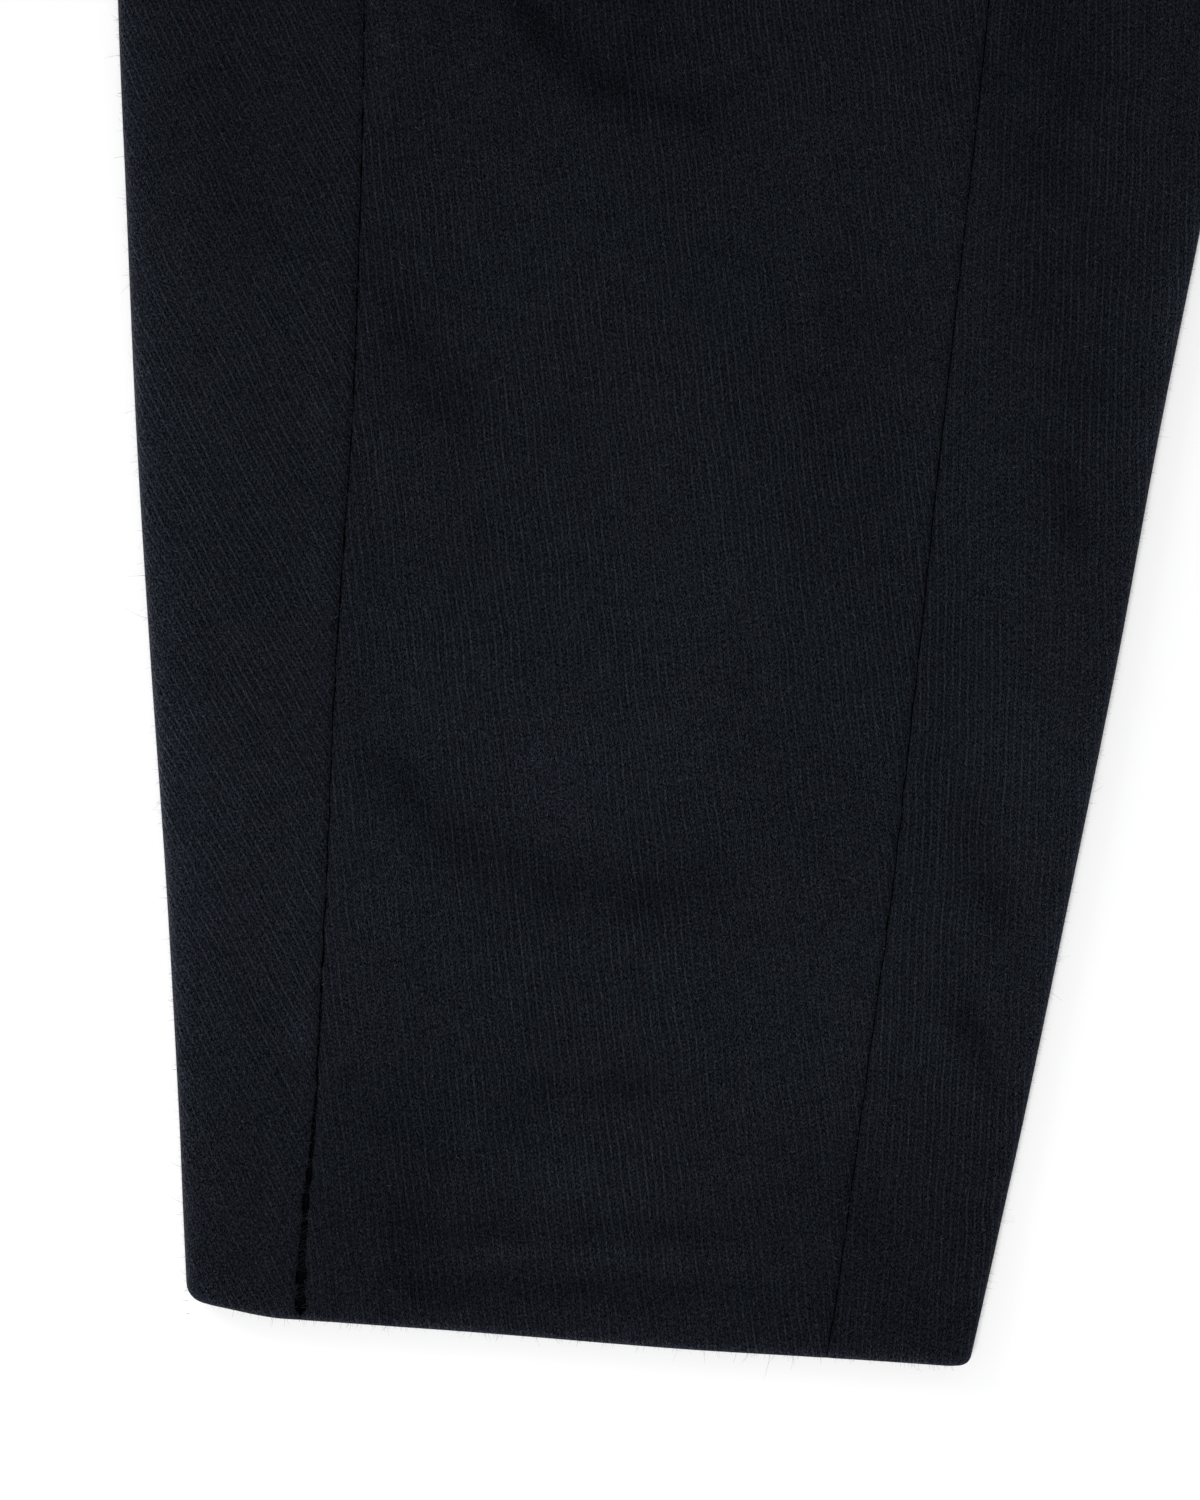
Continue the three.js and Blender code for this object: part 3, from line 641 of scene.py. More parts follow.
def back_piece(name, side, material):
    """A back runs from the inner seam, round the inner edge, under the leg, round the outer edge
    and up to the outer seam. Above the crotch it starts at the centre back."""
    row, crotch_index = leg_rows(CROTCH - SEAM_GAP / 2)
    above = np.arange(len(row))[:, None] > crotch_index
    radius, wall, inset = fold_radius(row), wall_at(row), roll_inset(row)
    arc_extra = (math.pi - 2) * radius
    inner = meet("inner", row) + corner_inset(row, INNER_CORNER)
    outer = meet("outer", row) - corner_inset(row)
    inner_seam = meet("inner_seam", row) - seam_half(row)
    seam = meet("outer_seam", row)
    outer_seam = seam + vent_half(height_on_row(row, seam))

    def strip(out, edge, outward):
        """A strip of the upper layer between a seam and a folded edge."""
        y, top = upper_face(side, out, row)
        slope = slope_at(edge, row)
        beyond = np.abs(outline_at(edge, y) - out) / (1 + slope**2)
        cut_out = out + outward * (2 * beyond + arc_extra)
        cut_y = y - outward * 2 * slope * beyond
        face, back = place(side, out, y, top - inset), place(side, out, y, top - wall + inset)
        return face, back, cut_out, cut_y, shading_of(tone_at(side, out, y, row), STRIP_RIBS, face)

    def bend(edge, column, outward, turns):
        """The cloth as it folds round an edge: turns go from -1, under, to 1, on top."""
        centre = edge - outward * radius
        angle = turns * math.pi / 2

        def ring(r):
            out = centre + outward * r * np.cos(angle)
            return place(side, out, height_on_row(row, out), radius + r * np.sin(angle))

        face, back = ring(radius - inset), ring(radius - wall + inset)
        run = (turns + 1) / 2 * math.pi * radius
        cut_y = face[..., 1] - slope_at(column, row) * outward * run
        out, y = side * face[..., 0], face[..., 1]
        on_top = ease(-0.3, 0.3, turns)
        nap = shading_of(tone_at(side, out, y, row, on_top), STRIP_RIBS, face)
        return face, back, centre + outward * run, cut_y, nap

    def underside():
        start = np.where(above, CENTRE_GAP, inner + radius)
        share = np.linspace(0, 1, UNDER_STEPS + 1)[:-1]
        out = start + (outer - radius - start) * share
        y = height_on_row(row, out) + waist_bow(row, BACK_RISE, out)
        face, back = place(side, out, y, inset / 4), place(side, out, y, wall - inset)
        return face, back, out, y, shading_of(tone_at(side, out, y, row, 0), 1, face)

    down = np.linspace(1, -1, ARC_STEPS + 1)[:-1]
    parts = [
        strip(from_seam(inner_seam, inner + radius, STRIP_STEPS)[:, :-1], "inner", -1),
        bend(inner, "inner", -1, down),
        underside(),
        bend(outer, "outer", 1, -down),
        strip(from_seam(outer_seam, outer - radius, STRIP_STEPS)[:, ::-1], "outer", 1),
    ]
    face = np.concatenate([p[0] for p in parts], axis=1)
    back = np.concatenate([p[1] for p in parts], axis=1)
    cut = [cut_plane(side * p[2] + 0 * p[3], p[3] + 0 * p[2] - inset, RIB_LEAN[name]) for p in parts]
    is_cloth = np.ones((face.shape[0] - 1, face.shape[1] - 1), bool)
    is_cloth[crotch_index:, : parts[0][0].shape[1] + ARC_STEPS] = False
    uv = np.concatenate(cut, axis=1)
    nap = np.concatenate([p[4] for p in parts], axis=1)
    mesh = cloth_shell(name, face, back, uv, nap, is_cloth, turned=side > 0)
    return dress(name, mesh, material)


def dress(name, mesh, material):
    """Make a piece of cloth from its mesh: it stands for the CAD node of that name."""
    piece = add_object(name + "_cloth", mesh, material)
    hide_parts(name)
    return piece


def band_line():
    """The waistband's path round the garment, as rows of x, z, normal x, normal z and is front."""
    radius = (BAND_WALL + BAND_SPACE) / 2
    low = BAND_WALL / 2
    high = low + 2 * radius
    climb = BAND_WALL + SEAM_GAP
    end_x = BAND_HALF - radius - low
    flat_x = end_x - 6
    line = [(x, high, 0, 1, True) for x in np.linspace(UNDERLAP, -flat_x, 60)]
    for side in (-1, 1):
        for turn in np.linspace(0, 1, 13):
            angle = math.pi * (turn - side / 2)
            dx, dz = math.cos(angle), math.sin(angle)
            line.append((side * end_x + radius * dx, low + radius + radius * dz, dx, dz, dz > 0))
        if side < 0:
            line += [(x, low, 0, -1, False) for x in np.linspace(-flat_x, flat_x, 80)]
    for x in np.linspace(flat_x, -OVERLAP, 70):
        line.append((x, high + climb * (1 - float(ease(*BAND_RAMP, x))), 0, 1, True))
    return np.array(line, float)


def waistband(material):
    x, z, normal_x, normal_z, is_front = band_line().T
    rim = np.array(BAND_RIM)
    rise = np.concatenate([rim, np.linspace(4, BAND_HEIGHT - 4, 12), BAND_HEIGHT - rim[::-1]])[:, None]
    half = BAND_WALL / 2
    missing = np.clip(half - np.minimum(rise, BAND_HEIGHT - rise), 0, half * 0.98)
    thick = np.sqrt(half**2 - missing**2)
    bow = np.where(is_front > 0, -FRONT_DIP, BACK_RISE) * np.maximum(0, 1 - (x / BAND_HALF) ** 2)
    y = WAIST + rise + bow
    on_top = np.where(normal_z > 0.9, 1, 0)
    puff = on_top * (0.12 * np.sin(math.pi * rise / BAND_HEIGHT) + 0.05 * ripple(x, rise, 22, 31))
    face = np.stack([x + normal_x * thick, y, z + normal_z * thick + puff], axis=-1)
    back = np.stack([x - normal_x * thick, y, z - normal_z * thick + puff], axis=-1)
    run = np.concatenate([[0], np.cumsum(np.hypot(np.diff(x), np.diff(z)))]) + 0 * rise
    uv = cut_plane(run, rise + 0 * run, RIB_LEAN["waistband"])
    # painted highlights along the band's top and bottom edges; the whole band is a little darker
    rim_highlight = 0.45 * np.exp(-np.minimum(rise, BAND_HEIGHT - rise) / 0.8)
    mesh = cloth_shell("waistband", face, back, uv, shading_of(rim_highlight - 0.1, 1, face), turned=True)
    return dress("waistband", mesh, material)


# ------------------------------------------------------------------ threads and fibres
def strands(name, paths, radii, material, sides=3):
    """Many thin closed tubes in one mesh: paths is (strands, points, 3), radii (strands, points)."""
    count, length = paths.shape[:2]
    tangent = np.gradient(paths, axis=1)
    tangent /= np.maximum(np.linalg.norm(tangent, axis=2, keepdims=True), 1e-9)
    up = np.where(np.abs(tangent[..., 2:3]) > 0.9, [1.0, 0, 0], [0, 0, 1.0])
    first = np.cross(tangent, up)
    first /= np.maximum(np.linalg.norm(first, axis=2, keepdims=True), 1e-9)
    second = np.cross(tangent, first)
    angle = (np.arange(sides) * 2 * math.pi / sides)[:, None]
    ring = first[:, :, None] * np.cos(angle) + second[:, :, None] * np.sin(angle)
    points = paths[:, :, None] + ring * radii[:, :, None, None]
    index = np.arange(count * length * sides).reshape(count, length, sides)
    after = np.roll(index, -1, axis=2)
    walls = np.stack([index[:, :-1], after[:, :-1], after[:, 1:], index[:, 1:]], axis=-1)
    caps = np.concatenate([index[:, 0], index[:, -1, ::-1]])
    if sides == 3:
        caps = np.hstack([caps, np.full((len(caps), 1), -1)])
    faces = np.concatenate([walls.reshape(-1, 4)[:, ::-1], caps])
    return add_object(name, build_mesh(name, points.reshape(-1, 3), faces), material)


def on_leg(x, y, margin):
    """Whether a place lies on the upper layer of a leg, clear of its edges by the margin."""
    out = np.abs(x)
    lowest = height_on_row(0 * out, out) + margin
    highest = WAIST - FRONT_DIP - margin
    return (to_edge(out, y) > margin) & (out < outline_at("outer", y) - margin) & (
        out > np.where(y < CROTCH, outline_at("inner", y) + margin, 0)
    ) & (y > lowest) & (y < highest)


def curls(draw, x, y, length, points=5):
    """Curled paths in the plane from given roots, each turning steadily one way."""
    count = len(x)
    heading = draw.uniform(0, 2 * math.pi, count)
    turn = draw.normal(0, 1.5, count)
    t = np.linspace(0, 1, points)
    angle = heading[:, None] + turn[:, None] * t + 0.4 * np.sin(draw.uniform(0, 6.3, (count, 1)) + 5 * t)
    step = (length / (points - 1))[:, None]

    def walked(start, steps):
        """Each strand's places along one axis, from its root on."""
        gone = np.cumsum(steps, axis=1)[:, :-1]
        return start[:, None] + np.concatenate([np.zeros((count, 1)), gone], axis=1)

    return walked(x, np.cos(angle) * step), walked(y, np.sin(angle) * step), t


def tapered(draw, thin, thick, count, t):
    """A radius for each strand, drawn between two sizes and thinning out towards both its ends."""
    return draw.uniform(thin, thick, (count, 1)) * (1 - 0.6 * np.abs(2 * t - 1) ** 3)


def loose_fibres(name, side, low, high, count, material, seed):
    """Stray curled fibres of the nap, lying on the top face between two heights of a leg."""
    draw = np.random.default_rng(seed)
    x = side * draw.uniform(0, 330, count * 3)
    y = draw.uniform(low, high, count * 3)
    keep = np.flatnonzero(on_leg(x, y, 4))[:count]
    x, y = x[keep], y[keep]
    length = np.minimum(0.3 + draw.gamma(2.0, 0.32, len(x)), 1.6)
    cx, cy, t = curls(draw, x, y, length)
    rise = draw.uniform(0.05, 0.45, (len(x), 1)) * np.sin(math.pi * t) ** 0.7
    cz = surface_at(cx, cy) + rise - 0.01
    radius = tapered(draw, 0.03, 0.07, len(x), t)
    return strands(name, np.stack([cx, cy, cz], axis=-1), radius, material)


def seam_fuzz(name, side, material, seed):
    """Short fluff that lies across the seams of one leg and blurs their edges."""
    draw = np.random.default_rng(seed)
    x, y = [], []
    for column, top in (("outer_seam", WAIST - 12), ("inner_seam", CROTCH - 15)):
        level = draw.uniform(3, top, int(top * 1.7))
        if column == "outer_seam":
            level = np.concatenate([level, draw.uniform(4, SLIT_TOP, 170)])
        gap = vent_half(level) if column == "outer_seam" else 0.15
        aside = draw.choice([-1, 1], len(level)) * (gap + draw.gamma(1.5, 0.35, len(level)))
        x.append(side * (outline_at(column, level) + aside))
        y.append(level)
    x, y = np.concatenate(x), np.concatenate(y)
    cx, cy, t = curls(draw, x, y, draw.uniform(0.4, 1.5, len(x)), points=4)
    root_z = surface_at(x, y)[:, None]
    cz = np.maximum(surface_at(cx, cy), root_z - 0.1) + 0.12 * np.sin(math.pi * t)
    radius = tapered(draw, 0.03, 0.06, len(x), t)
    return strands(name, np.stack([cx, cy, cz], axis=-1), radius, material)


def edge_fuzz(name, side, material, seed):
    """Short hairs that stand out of the folded edges and the hem of one leg."""
    draw = np.random.default_rng(seed)
    roots, away = [], []
    for column, outward, top in (("outer", 1, WAIST - 8), ("inner", -1, CROTCH - 8)):
        y = draw.uniform(2, top, int(top * HAIRS_PER_MM))
        edge = outline_at(column, y)
        slope = slope_at(column, y)
        radius = fold_radius(y)
        angle = draw.normal(0.25, 0.5, len(y))
        out = edge - outward * radius * (1 - np.cos(angle))
        roots.append(np.stack([side * out, y, radius * (1 + np.sin(angle))], axis=-1))
        lean = np.cos(angle)
        away.append(np.stack([side * outward * lean, -outward * slope * lean, np.sin(angle)], axis=-1))
    inner, outer = float(meet("inner", 0)), float(meet("outer", 0))
    out = draw.uniform(inner + 3, outer - 3, HEM_HAIRS)
    z = draw.uniform(0.8, 5.6, len(out))
    roots.append(np.stack([side * out, height_on_row(0 * out, out) + 0.15, z], axis=-1))
    away.append(np.stack([0 * out, -1 + 0 * out, (z - 3) / 6], axis=-1))
    root, away = np.concatenate(roots), np.concatenate(away)
    count = len(root)
    length = 0.25 + draw.gamma(1.6, 0.32, (count, 1, 1))
    t = np.linspace(0, 1, 4)[None, :, None]
    bend = draw.normal(0, 0.6, (count, 1, 3)) * t**2
    path = root[:, None] + (away[:, None] * t + bend * 0.8) * length - away[:, None] * 0.12
    path[..., 2] = np.maximum(path[..., 2], 0.06)
    radius = draw.uniform(0.02, 0.036, (count, 1)) * (1 - 0.7 * t[0, :, 0])
    return strands(name, path, radius, material)


def slit_bars(name, side, material, seed):
    """Bars of thread across the slit at the foot of the outer seam, frayed and slanting."""
    draw = np.random.default_rng(seed)
    paths, radii = [], []
    t = np.linspace(0, 1, 9)
    for height, threads in SLIT_BARS:
        seam = float(outline_at("outer_seam", height))
        half = float(vent_half(height)) + BAR_BITE
        for k in range(threads):
            slant = draw.normal(*BAR_SLANT)
            level = height + (k - (threads - 1) / 2) * BAR_PITCH + draw.normal(0, 0.2)
            arch = draw.uniform(-0.3, 1.0)
            across = half * (1 - 2 * t)
            out = seam + across + draw.normal(0, 0.08)
            y = level - slant * across / 2 + arch * (4 * t * (1 - t) - 0.5) + 0.06 * np.sin(9 * t + k)
            ends = surface_at(side * (seam + np.array([half, -half])), np.array([height, height]))
            z = ends[0] + (ends[1] - ends[0]) * t - 0.75 + 0.6 * (4 * t * (1 - t)) ** 0.5
            paths.append(np.stack([side * out, y, z + draw.normal(0, 0.06)], axis=-1))
            radii.append(np.full(len(t), THREAD_RADIUS) * draw.uniform(0.8, 1.15))
    return strands(name, np.array(paths), np.array(radii), material, sides=4)


def stitches(name, path, pitch, material, radius=0.16):
    """A row of sewn stitches along a path of x and y, each dipping into the cloth at its ends."""
    path = np.asarray(path, float)
    run = np.concatenate([[0], np.cumsum(np.linalg.norm(np.diff(path, axis=0), axis=1))])
    starts = np.arange(0.3, run[-1] - pitch, pitch)
    t = np.linspace(0, 1, 5)
    at = starts[:, None] + t * pitch * 0.82
    x = np.interp(at, run, path[:, 0])
    y = np.interp(at, run, path[:, 1])
    z = surface_at(x, y) + FLY_LIFT * (1 - ease(*FLY_RAMP, np.abs(x)))
    z = z - 0.2 + 0.3 * np.sin(math.pi * t) ** 0.6
    return strands(name, np.stack([x, y, z], axis=-1), np.full(x.shape, radius), material, sides=4)


def fly_stitching(material):
    """The curved row of stitches that holds the fly, and the bar that ends it."""
    turn = np.linspace(0, math.pi / 2, 12)
    foot = FLY_BOTTOM + 6
    curve = [(4 + 30 * math.cos(a), foot + 36 - 36 * math.sin(a)) for a in turn]
    path = [(34, WAIST - FRONT_DIP - 2)] + curve
    stitches("fly_stitches", path, 2.6, material)
    bar = [(5, foot - 3), (5, foot + 6)]
    stitches("fly_bar_tack", bar, 0.55, material, radius=0.3)


def buttonhole(material):
    """Close stitches all round the buttonhole; they show on both sides of the button."""
    centre_y = WAIST - FRONT_DIP + BAND_HEIGHT / 2
    top = 3 * BAND_WALL + BAND_SPACE + SEAM_GAP + 0.16
    t = np.linspace(0, 1, 5)
    paths = []
    for x in np.arange(-BUTTONHOLE_HALF, BUTTONHOLE_HALF + 0.1, 0.5) - BUTTON_OFF_CENTRE:
        for side in (-1, 1):
            y = centre_y + side * (0.25 + 1.5 * t)
            z = top - 0.12 + 0.28 * np.sin(math.pi * t) ** 0.6
            paths.append(np.stack([x + 0 * t, y, z], axis=-1))
    return strands("buttonhole", np.array(paths), np.full((len(paths), len(t)), 0.2), material, sides=4)


# ------------------------------------------------------------------ the button
def lathe(profile, steps, centre):
    """A closed solid of revolution about +Z from rows of radius and height, in millimetres."""
    shape = bmesh.new()
    rings = []
    for radius, z in profile:
        if radius == 0:
            rings.append([shape.verts.new((centre[0], centre[1], centre[2] + z))])
            continue
        ring = []
        for k in range(steps):
            angle = 2 * math.pi * k / steps
            x, y = radius * math.cos(angle), radius * math.sin(angle)
            ring.append(shape.verts.new((centre[0] + x, centre[1] + y, centre[2] + z)))
        rings.append(ring)
    for low, high in zip(rings, rings[1:]):
        for k in range(steps):
            below = [low[k % len(low)], low[(k + 1) % len(low)]]
            over = [high[(k + 1) % len(high)], high[k % len(high)]]
            shape.faces.new(list(dict.fromkeys(below + over)))
    bmesh.ops.recalc_face_normals(shape, faces=shape.faces)
    mesh = bpy.data.meshes.new("turned")
    shape.to_mesh(mesh)
    shape.free()
    return mesh


def button(material, thread):
    """A four-hole button with a raised rim, sewn on through its holes."""
    node_low, node_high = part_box("button")
    centre = [(node_low[0] + node_high[0]) / 2, (node_low[1] + node_high[1]) / 2, node_low[2]]
    r, h = BUTTON_RADIUS * MM, BUTTON_THICK * MM
    rim = [(r - 2.6 * MM, h * 0.62), (r - 2.0 * MM, h * 0.78), (r - 1.3 * MM, h * 0.97), (r - 0.8 * MM, h)]
    side = [(r - 0.3 * MM, h * 0.9), (r, h * 0.62), (r - 0.15 * MM, h * 0.34), (r - 1.1 * MM, 0)]
    dish = [(0, h * 0.55), (r * 0.35, h * 0.56), (r * 0.55, h * 0.58)]
    profile = dish + rim + side + [(0, 0)]
    piece = add_object("button_detailed", lathe(profile, 64, centre), material)
    hole_at = HOLE_OFFSET * MM
    for k in range(4):
        x = centre[0] + hole_at * (1 if k % 2 else -1)
        y = centre[1] + hole_at * (1 if k > 1 else -1)
        drill = [(0, -h), (HOLE_RADIUS * MM, -h), (HOLE_RADIUS * MM, 2 * h), (0, 2 * h)]
        cutter = new_object("drill", lathe(drill, 20, (x, y, centre[2])))
        cut = piece.modifiers.new("hole", "BOOLEAN")
        cut.operation = "DIFFERENCE"
        cut.object = cutter
        bpy.context.view_layer.update()
        evaluated = piece.evaluated_get(bpy.context.evaluated_depsgraph_get())
        drilled = bpy.data.meshes.new_from_object(evaluated)
        piece.modifiers.clear()
        piece.data = drilled
        bpy.data.objects.remove(cutter)
    piece.data.materials.clear()
    piece.data.materials.append(material)
    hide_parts("button")
    t = np.linspace(0, 1, 9)
    paths = []
    for x_side in (-1, 1):
        for k in range(5):
            x = (centre[0] / MM + x_side * HOLE_OFFSET) + (k - 2) * 0.22 + 0 * t
            y = centre[1] / MM + HEIGHT_OF_ORIGIN + 1.5 * (2 * t - 1)
            z = (centre[2] + h * 0.55) / MM - 0.9 + 1.35 * (4 * t * (1 - t)) ** 0.35 - 0.05 * abs(k - 2)
            paths.append(np.stack([x, y, z], axis=-1))
    strands("button_thread", np.array(paths), np.full((len(paths), len(t)), 0.15), thread, sides=4)
    return piece


# ------------------------------------------------------------------ materials
def new_material(name, roughness=0.9, specular=0.1, sheen=0.0, sheen_tint=(1, 1, 1, 1)):
    material = bpy.data.materials.new(name)
    material.use_nodes = True
    shader = material.node_tree.nodes["Principled BSDF"]
    shader.inputs["Roughness"].default_value = roughness
    shader.inputs["Specular IOR Level"].default_value = specular
    shader.inputs["Sheen Weight"].default_value = sheen
    shader.inputs["Sheen Roughness"].default_value = 0.5
    shader.inputs["Sheen Tint"].default_value = sheen_tint
    return material, shader


class Graph:
    """Short forms for building a node tree."""

    def __init__(self, material):
        self.tree = material.node_tree

    def plug(self, socket, value):
        if isinstance(value, bpy.types.NodeSocket):
            self.tree.links.new(value, socket)
        else:
            socket.default_value = value

    def node(self, kind, inputs, **options):
        """Add a node, set its options and plug its inputs; gives its outputs."""
        made = self.tree.nodes.new("ShaderNode" + kind)
        for option, value in options.items():
            setattr(made, option, value)
        for socket, value in inputs.items():
            self.plug(made.inputs[socket], value)
        return made.outputs

    def place(self):
        return self.node("TexCoord", {})["Object"]

    def uv(self):
        return self.node("UVMap", {}, uv_map="cloth")["UV"]

    def attribute(self, name):
        return self.node("Attribute", {}, attribute_name=name)["Vector"]

    def split(self, vector):
        return self.node("SeparateXYZ", {0: vector})

    def join(self, x, y, z=0.0):
        return self.node("CombineXYZ", {0: x, 1: y, 2: z})[0]

    def math(self, operation, a, b=0.0, c=0.0):
        return self.node("Math", {0: a, 1: b, 2: c}, operation=operation)[0]

    def times(self, a, b):
        return self.math("MULTIPLY", a, b)

    def add(self, first, *rest):
        for value in rest:
            first = self.math("ADD", first, value)
        return first

    def noise(self, vector, size, detail=2.0, roughness=0.5, flat=True):
        """Soft noise with features of a size in millimetres, about 0.5 on average."""
        inputs = {"Vector": vector, "Scale": 1 / (size * MM), "Detail": detail, "Roughness": roughness}
        return self.node("TexNoise", inputs, noise_dimensions="2D" if flat else "3D")["Fac"]

    def swing(self, noise, reach):
        """Noise turned into a swing about 0."""
        return self.math("MULTIPLY_ADD", noise, 2 * reach, -reach)

    def specks(self, vector, size):
        """A random value from 0 to 1 in each small cell."""
        inputs = {"Vector": vector, "Scale": 1 / (size * MM)}
        return self.split(self.node("TexVoronoi", inputs, voronoi_dimensions="2D")["Color"])[0]

    def stretch(self, vector, scale, turn=0.0):
        inputs = {"Vector": vector, "Rotation": (0, 0, math.radians(turn)), "Scale": scale}
        return self.node("Mapping", inputs)["Vector"]

    def remap(self, value, low, high, to_low=0.0, to_high=1.0):
        inputs = {"From Min": low, "From Max": high, "To Min": to_low, "To Max": to_high, "Value": value}
        return self.node("MapRange", inputs, interpolation_type="SMOOTHSTEP")["Result"]

    def mix(self, share, a, b):
        return self.node("Mix", {0: share, 6: a, 7: b}, data_type="RGBA")[2]

    def scaled(self, colour, amount):
        """A colour made lighter or darker by an amount."""
        vector = colour if isinstance(colour, bpy.types.NodeSocket) else colour[:3]
        return self.node("VectorMath", {0: vector, "Scale": amount}, operation="SCALE")[0]

    def bump(self, height, distance, strength=1.0):
        inputs = {"Distance": distance * MM, "Strength": strength, "Height": height}
        return self.node("Bump", inputs)["Normal"]


SLATE = (0.0068, 0.0065, 0.0102, 1)
TEAL = (0.0058, 0.0085, 0.0105, 1)
# the greyer colour that the painted highlights turn towards
HIGHLIGHT_GREY = (0.0078, 0.0076, 0.0090, 1)
# The cloth is darker high up the leg and at its hem, in (height, height, tone, tone).
LEG_RAMPS = [(160, 315, 0.0, -0.18), (0, 80, -0.17, 0.0)]
FULL_TURN = 2 * math.pi
# The plain finishes: colour, roughness, specular level, size of the mottling and its swing.
FINISHES = {
    "fibre": ((0.050, 0.058, 0.078, 1), 0.8, 0.1, 1.5, 0.6),
    "seam_fluff": ((0.019, 0.022, 0.029, 1), 0.85, 0.1, 1.5, 0.7),
    "edge_hair": ((0.016, 0.018, 0.024, 1), 0.8, 0.1, 1.5, 0.5),
    "thread": ((0.0060, 0.0068, 0.0090, 1), 0.9, 0.03, 0.4, 0.4),
    "zip_tape": ((0.010, 0.011, 0.015, 1), 0.7, 0.2, 0.5, 0.3),
}


def rib_lines(g, rib, along):
    """Narrow light lines, one to each rib with a fainter one between, each fading in and out."""
    main = g.math("MULTIPLY_ADD", g.math("COSINE", g.times(rib, FULL_TURN)), 0.5, 0.5)
    twice = g.math("MULTIPLY_ADD", g.math("COSINE", g.times(rib, 2 * FULL_TURN)), 0.5, 0.5)
    lines = g.add(g.times(g.math("POWER", main, 2.0), 0.5), g.times(g.math("POWER", twice, 2.0), 0.52))
    number = g.math("FLOOR", g.math("ADD", rib, 0.5))
    own = g.noise(g.join(g.times(number, 0.0091), g.times(along, 0.55)), 8.0, 2)
    return g.times(g.math("SUBTRACT", lines, 0.38), g.remap(own, 0.3, 0.7, 0.7, 1.3)), number


def twill_material():
    """Brushed wool twill: steep ribs that come and go under a short nap."""
    material, shader = new_material("wool_twill", 0.95, 0.02, 0.02, (0.6, 0.72, 0.9, 1))
    g = Graph(material)
    uv, spot = g.uv(), g.place()
    across, along = g.split(uv)[0], g.split(uv)[1]
    # the 'nap' attribute carries painted shade and light per point, and how far the ribs show
    tone, rib_share = g.split(g.attribute("nap"))[:2]
    swayed = g.math("ADD", across, g.swing(g.noise(uv, 16, 1), 0.0007))
    rib = g.math("DIVIDE", swayed, RIB_PITCH * MM)
    ribs, number = rib_lines(g, rib, along)
    tick = g.math("MULTIPLY_ADD", number, 2.4, g.times(along, FULL_TURN / (1.26 * MM)))
    ticks = g.math("COSINE", g.math("MULTIPLY_ADD", rib, 2.2, tick))

    bands = g.noise(g.stretch(spot, (1, 0.42, 1), -14), 34, 2, flat=False)
    shows = g.remap(bands, 0.36, 0.6, 0.6, 1.0)
    breaks = g.remap(g.noise(uv, 2.4, 1), 0.3, 0.62, 0.6, 1.0)
    shown = g.times(g.times(ribs, rib_share), g.times(shows, breaks))
    weave = g.math("MULTIPLY_ADD", shown, 1.2, g.times(ticks, 0.05))

    specks = g.swing(g.specks(g.stretch(uv, (1, 0.6, 1)), 0.20), 0.7)
    streaks = g.swing(g.noise(g.stretch(uv, (1, 0.4, 1), 14), 0.21, 1, 0.6), 1.85)
    crossing = g.swing(g.noise(g.stretch(uv, (1, 0.4, 1), -22), 0.26, 1, 0.6), 1.4)
    nap = g.times(g.add(specks, streaks, crossing), g.math("MULTIPLY_ADD", shows, -0.25, 1.2))
    fluff = g.swing(g.noise(g.stretch(uv, (1, 0.7, 1), 24), 1.5, 2, 0.6), 0.16)
    mottle = g.swing(g.noise(uv, 6.0, 2), 0.2)
    patch = g.swing(g.noise(spot, 60, 1, flat=False), 0.16)
    height = g.split(spot)[1]
    upper, lower = [
        g.remap(height, (low - HEIGHT_OF_ORIGIN) * MM, (high - HEIGHT_OF_ORIGIN) * MM, at_low, at_high)
        for low, high, at_low, at_high in LEG_RAMPS
    ]
    fine = g.math("MULTIPLY_ADD", g.add(weave, nap, fluff, mottle, patch), 0.5, 1.0)
    fine = g.math("POWER", g.math("MAXIMUM", fine, 0.25), 2.0)
    # the painted shade and light from the attribute, and the ramps along the leg, scale the colour
    light = g.times(fine, g.math("POWER", math.e, g.add(upper, lower, tone)))

    hue = g.swing(g.noise(spot, 40, 2, flat=False), 0.4)
    fine_hue = g.swing(g.noise(uv, 1.3, 3, 0.7), 0.9)
    speck_hue = g.swing(g.specks(g.stretch(uv, (1, 1, 1), 31), 0.3), 0.6)
    share = g.add(0.48, hue, fine_hue, speck_hue, g.times(shown, 0.7), upper, lower)
    share = g.math("MINIMUM", g.math("MAXIMUM", share, 0.0), 1.0)
    # where the painted highlights are strongest, the colour turns greyer
    colour = g.mix(g.remap(tone, 0.3, 1.6, 0.0, 0.6), g.mix(share, SLATE, TEAL), HIGHLIGHT_GREY)
    g.plug(shader.inputs["Base Color"], g.scaled(colour, light))
    relief = g.add(g.times(shown, 0.8), g.times(nap, 0.2))
    g.plug(shader.inputs["Normal"], g.bump(relief, 0.10, 0.6))
    return material


def mottled_material(name, colour, roughness, specular, size, swing):
    """A finish with slight mottling of its colour and surface, in features of a size."""
    material, shader = new_material(name, roughness, specular)
    g = Graph(material)
    mottle = g.noise(g.place(), size, 3, flat=False)
    g.plug(shader.inputs["Base Color"], g.scaled(colour, g.math("ADD", g.swing(mottle, swing), 1.0)))
    g.plug(shader.inputs["Normal"], g.bump(mottle, size * 0.2, 0.3))
    return material


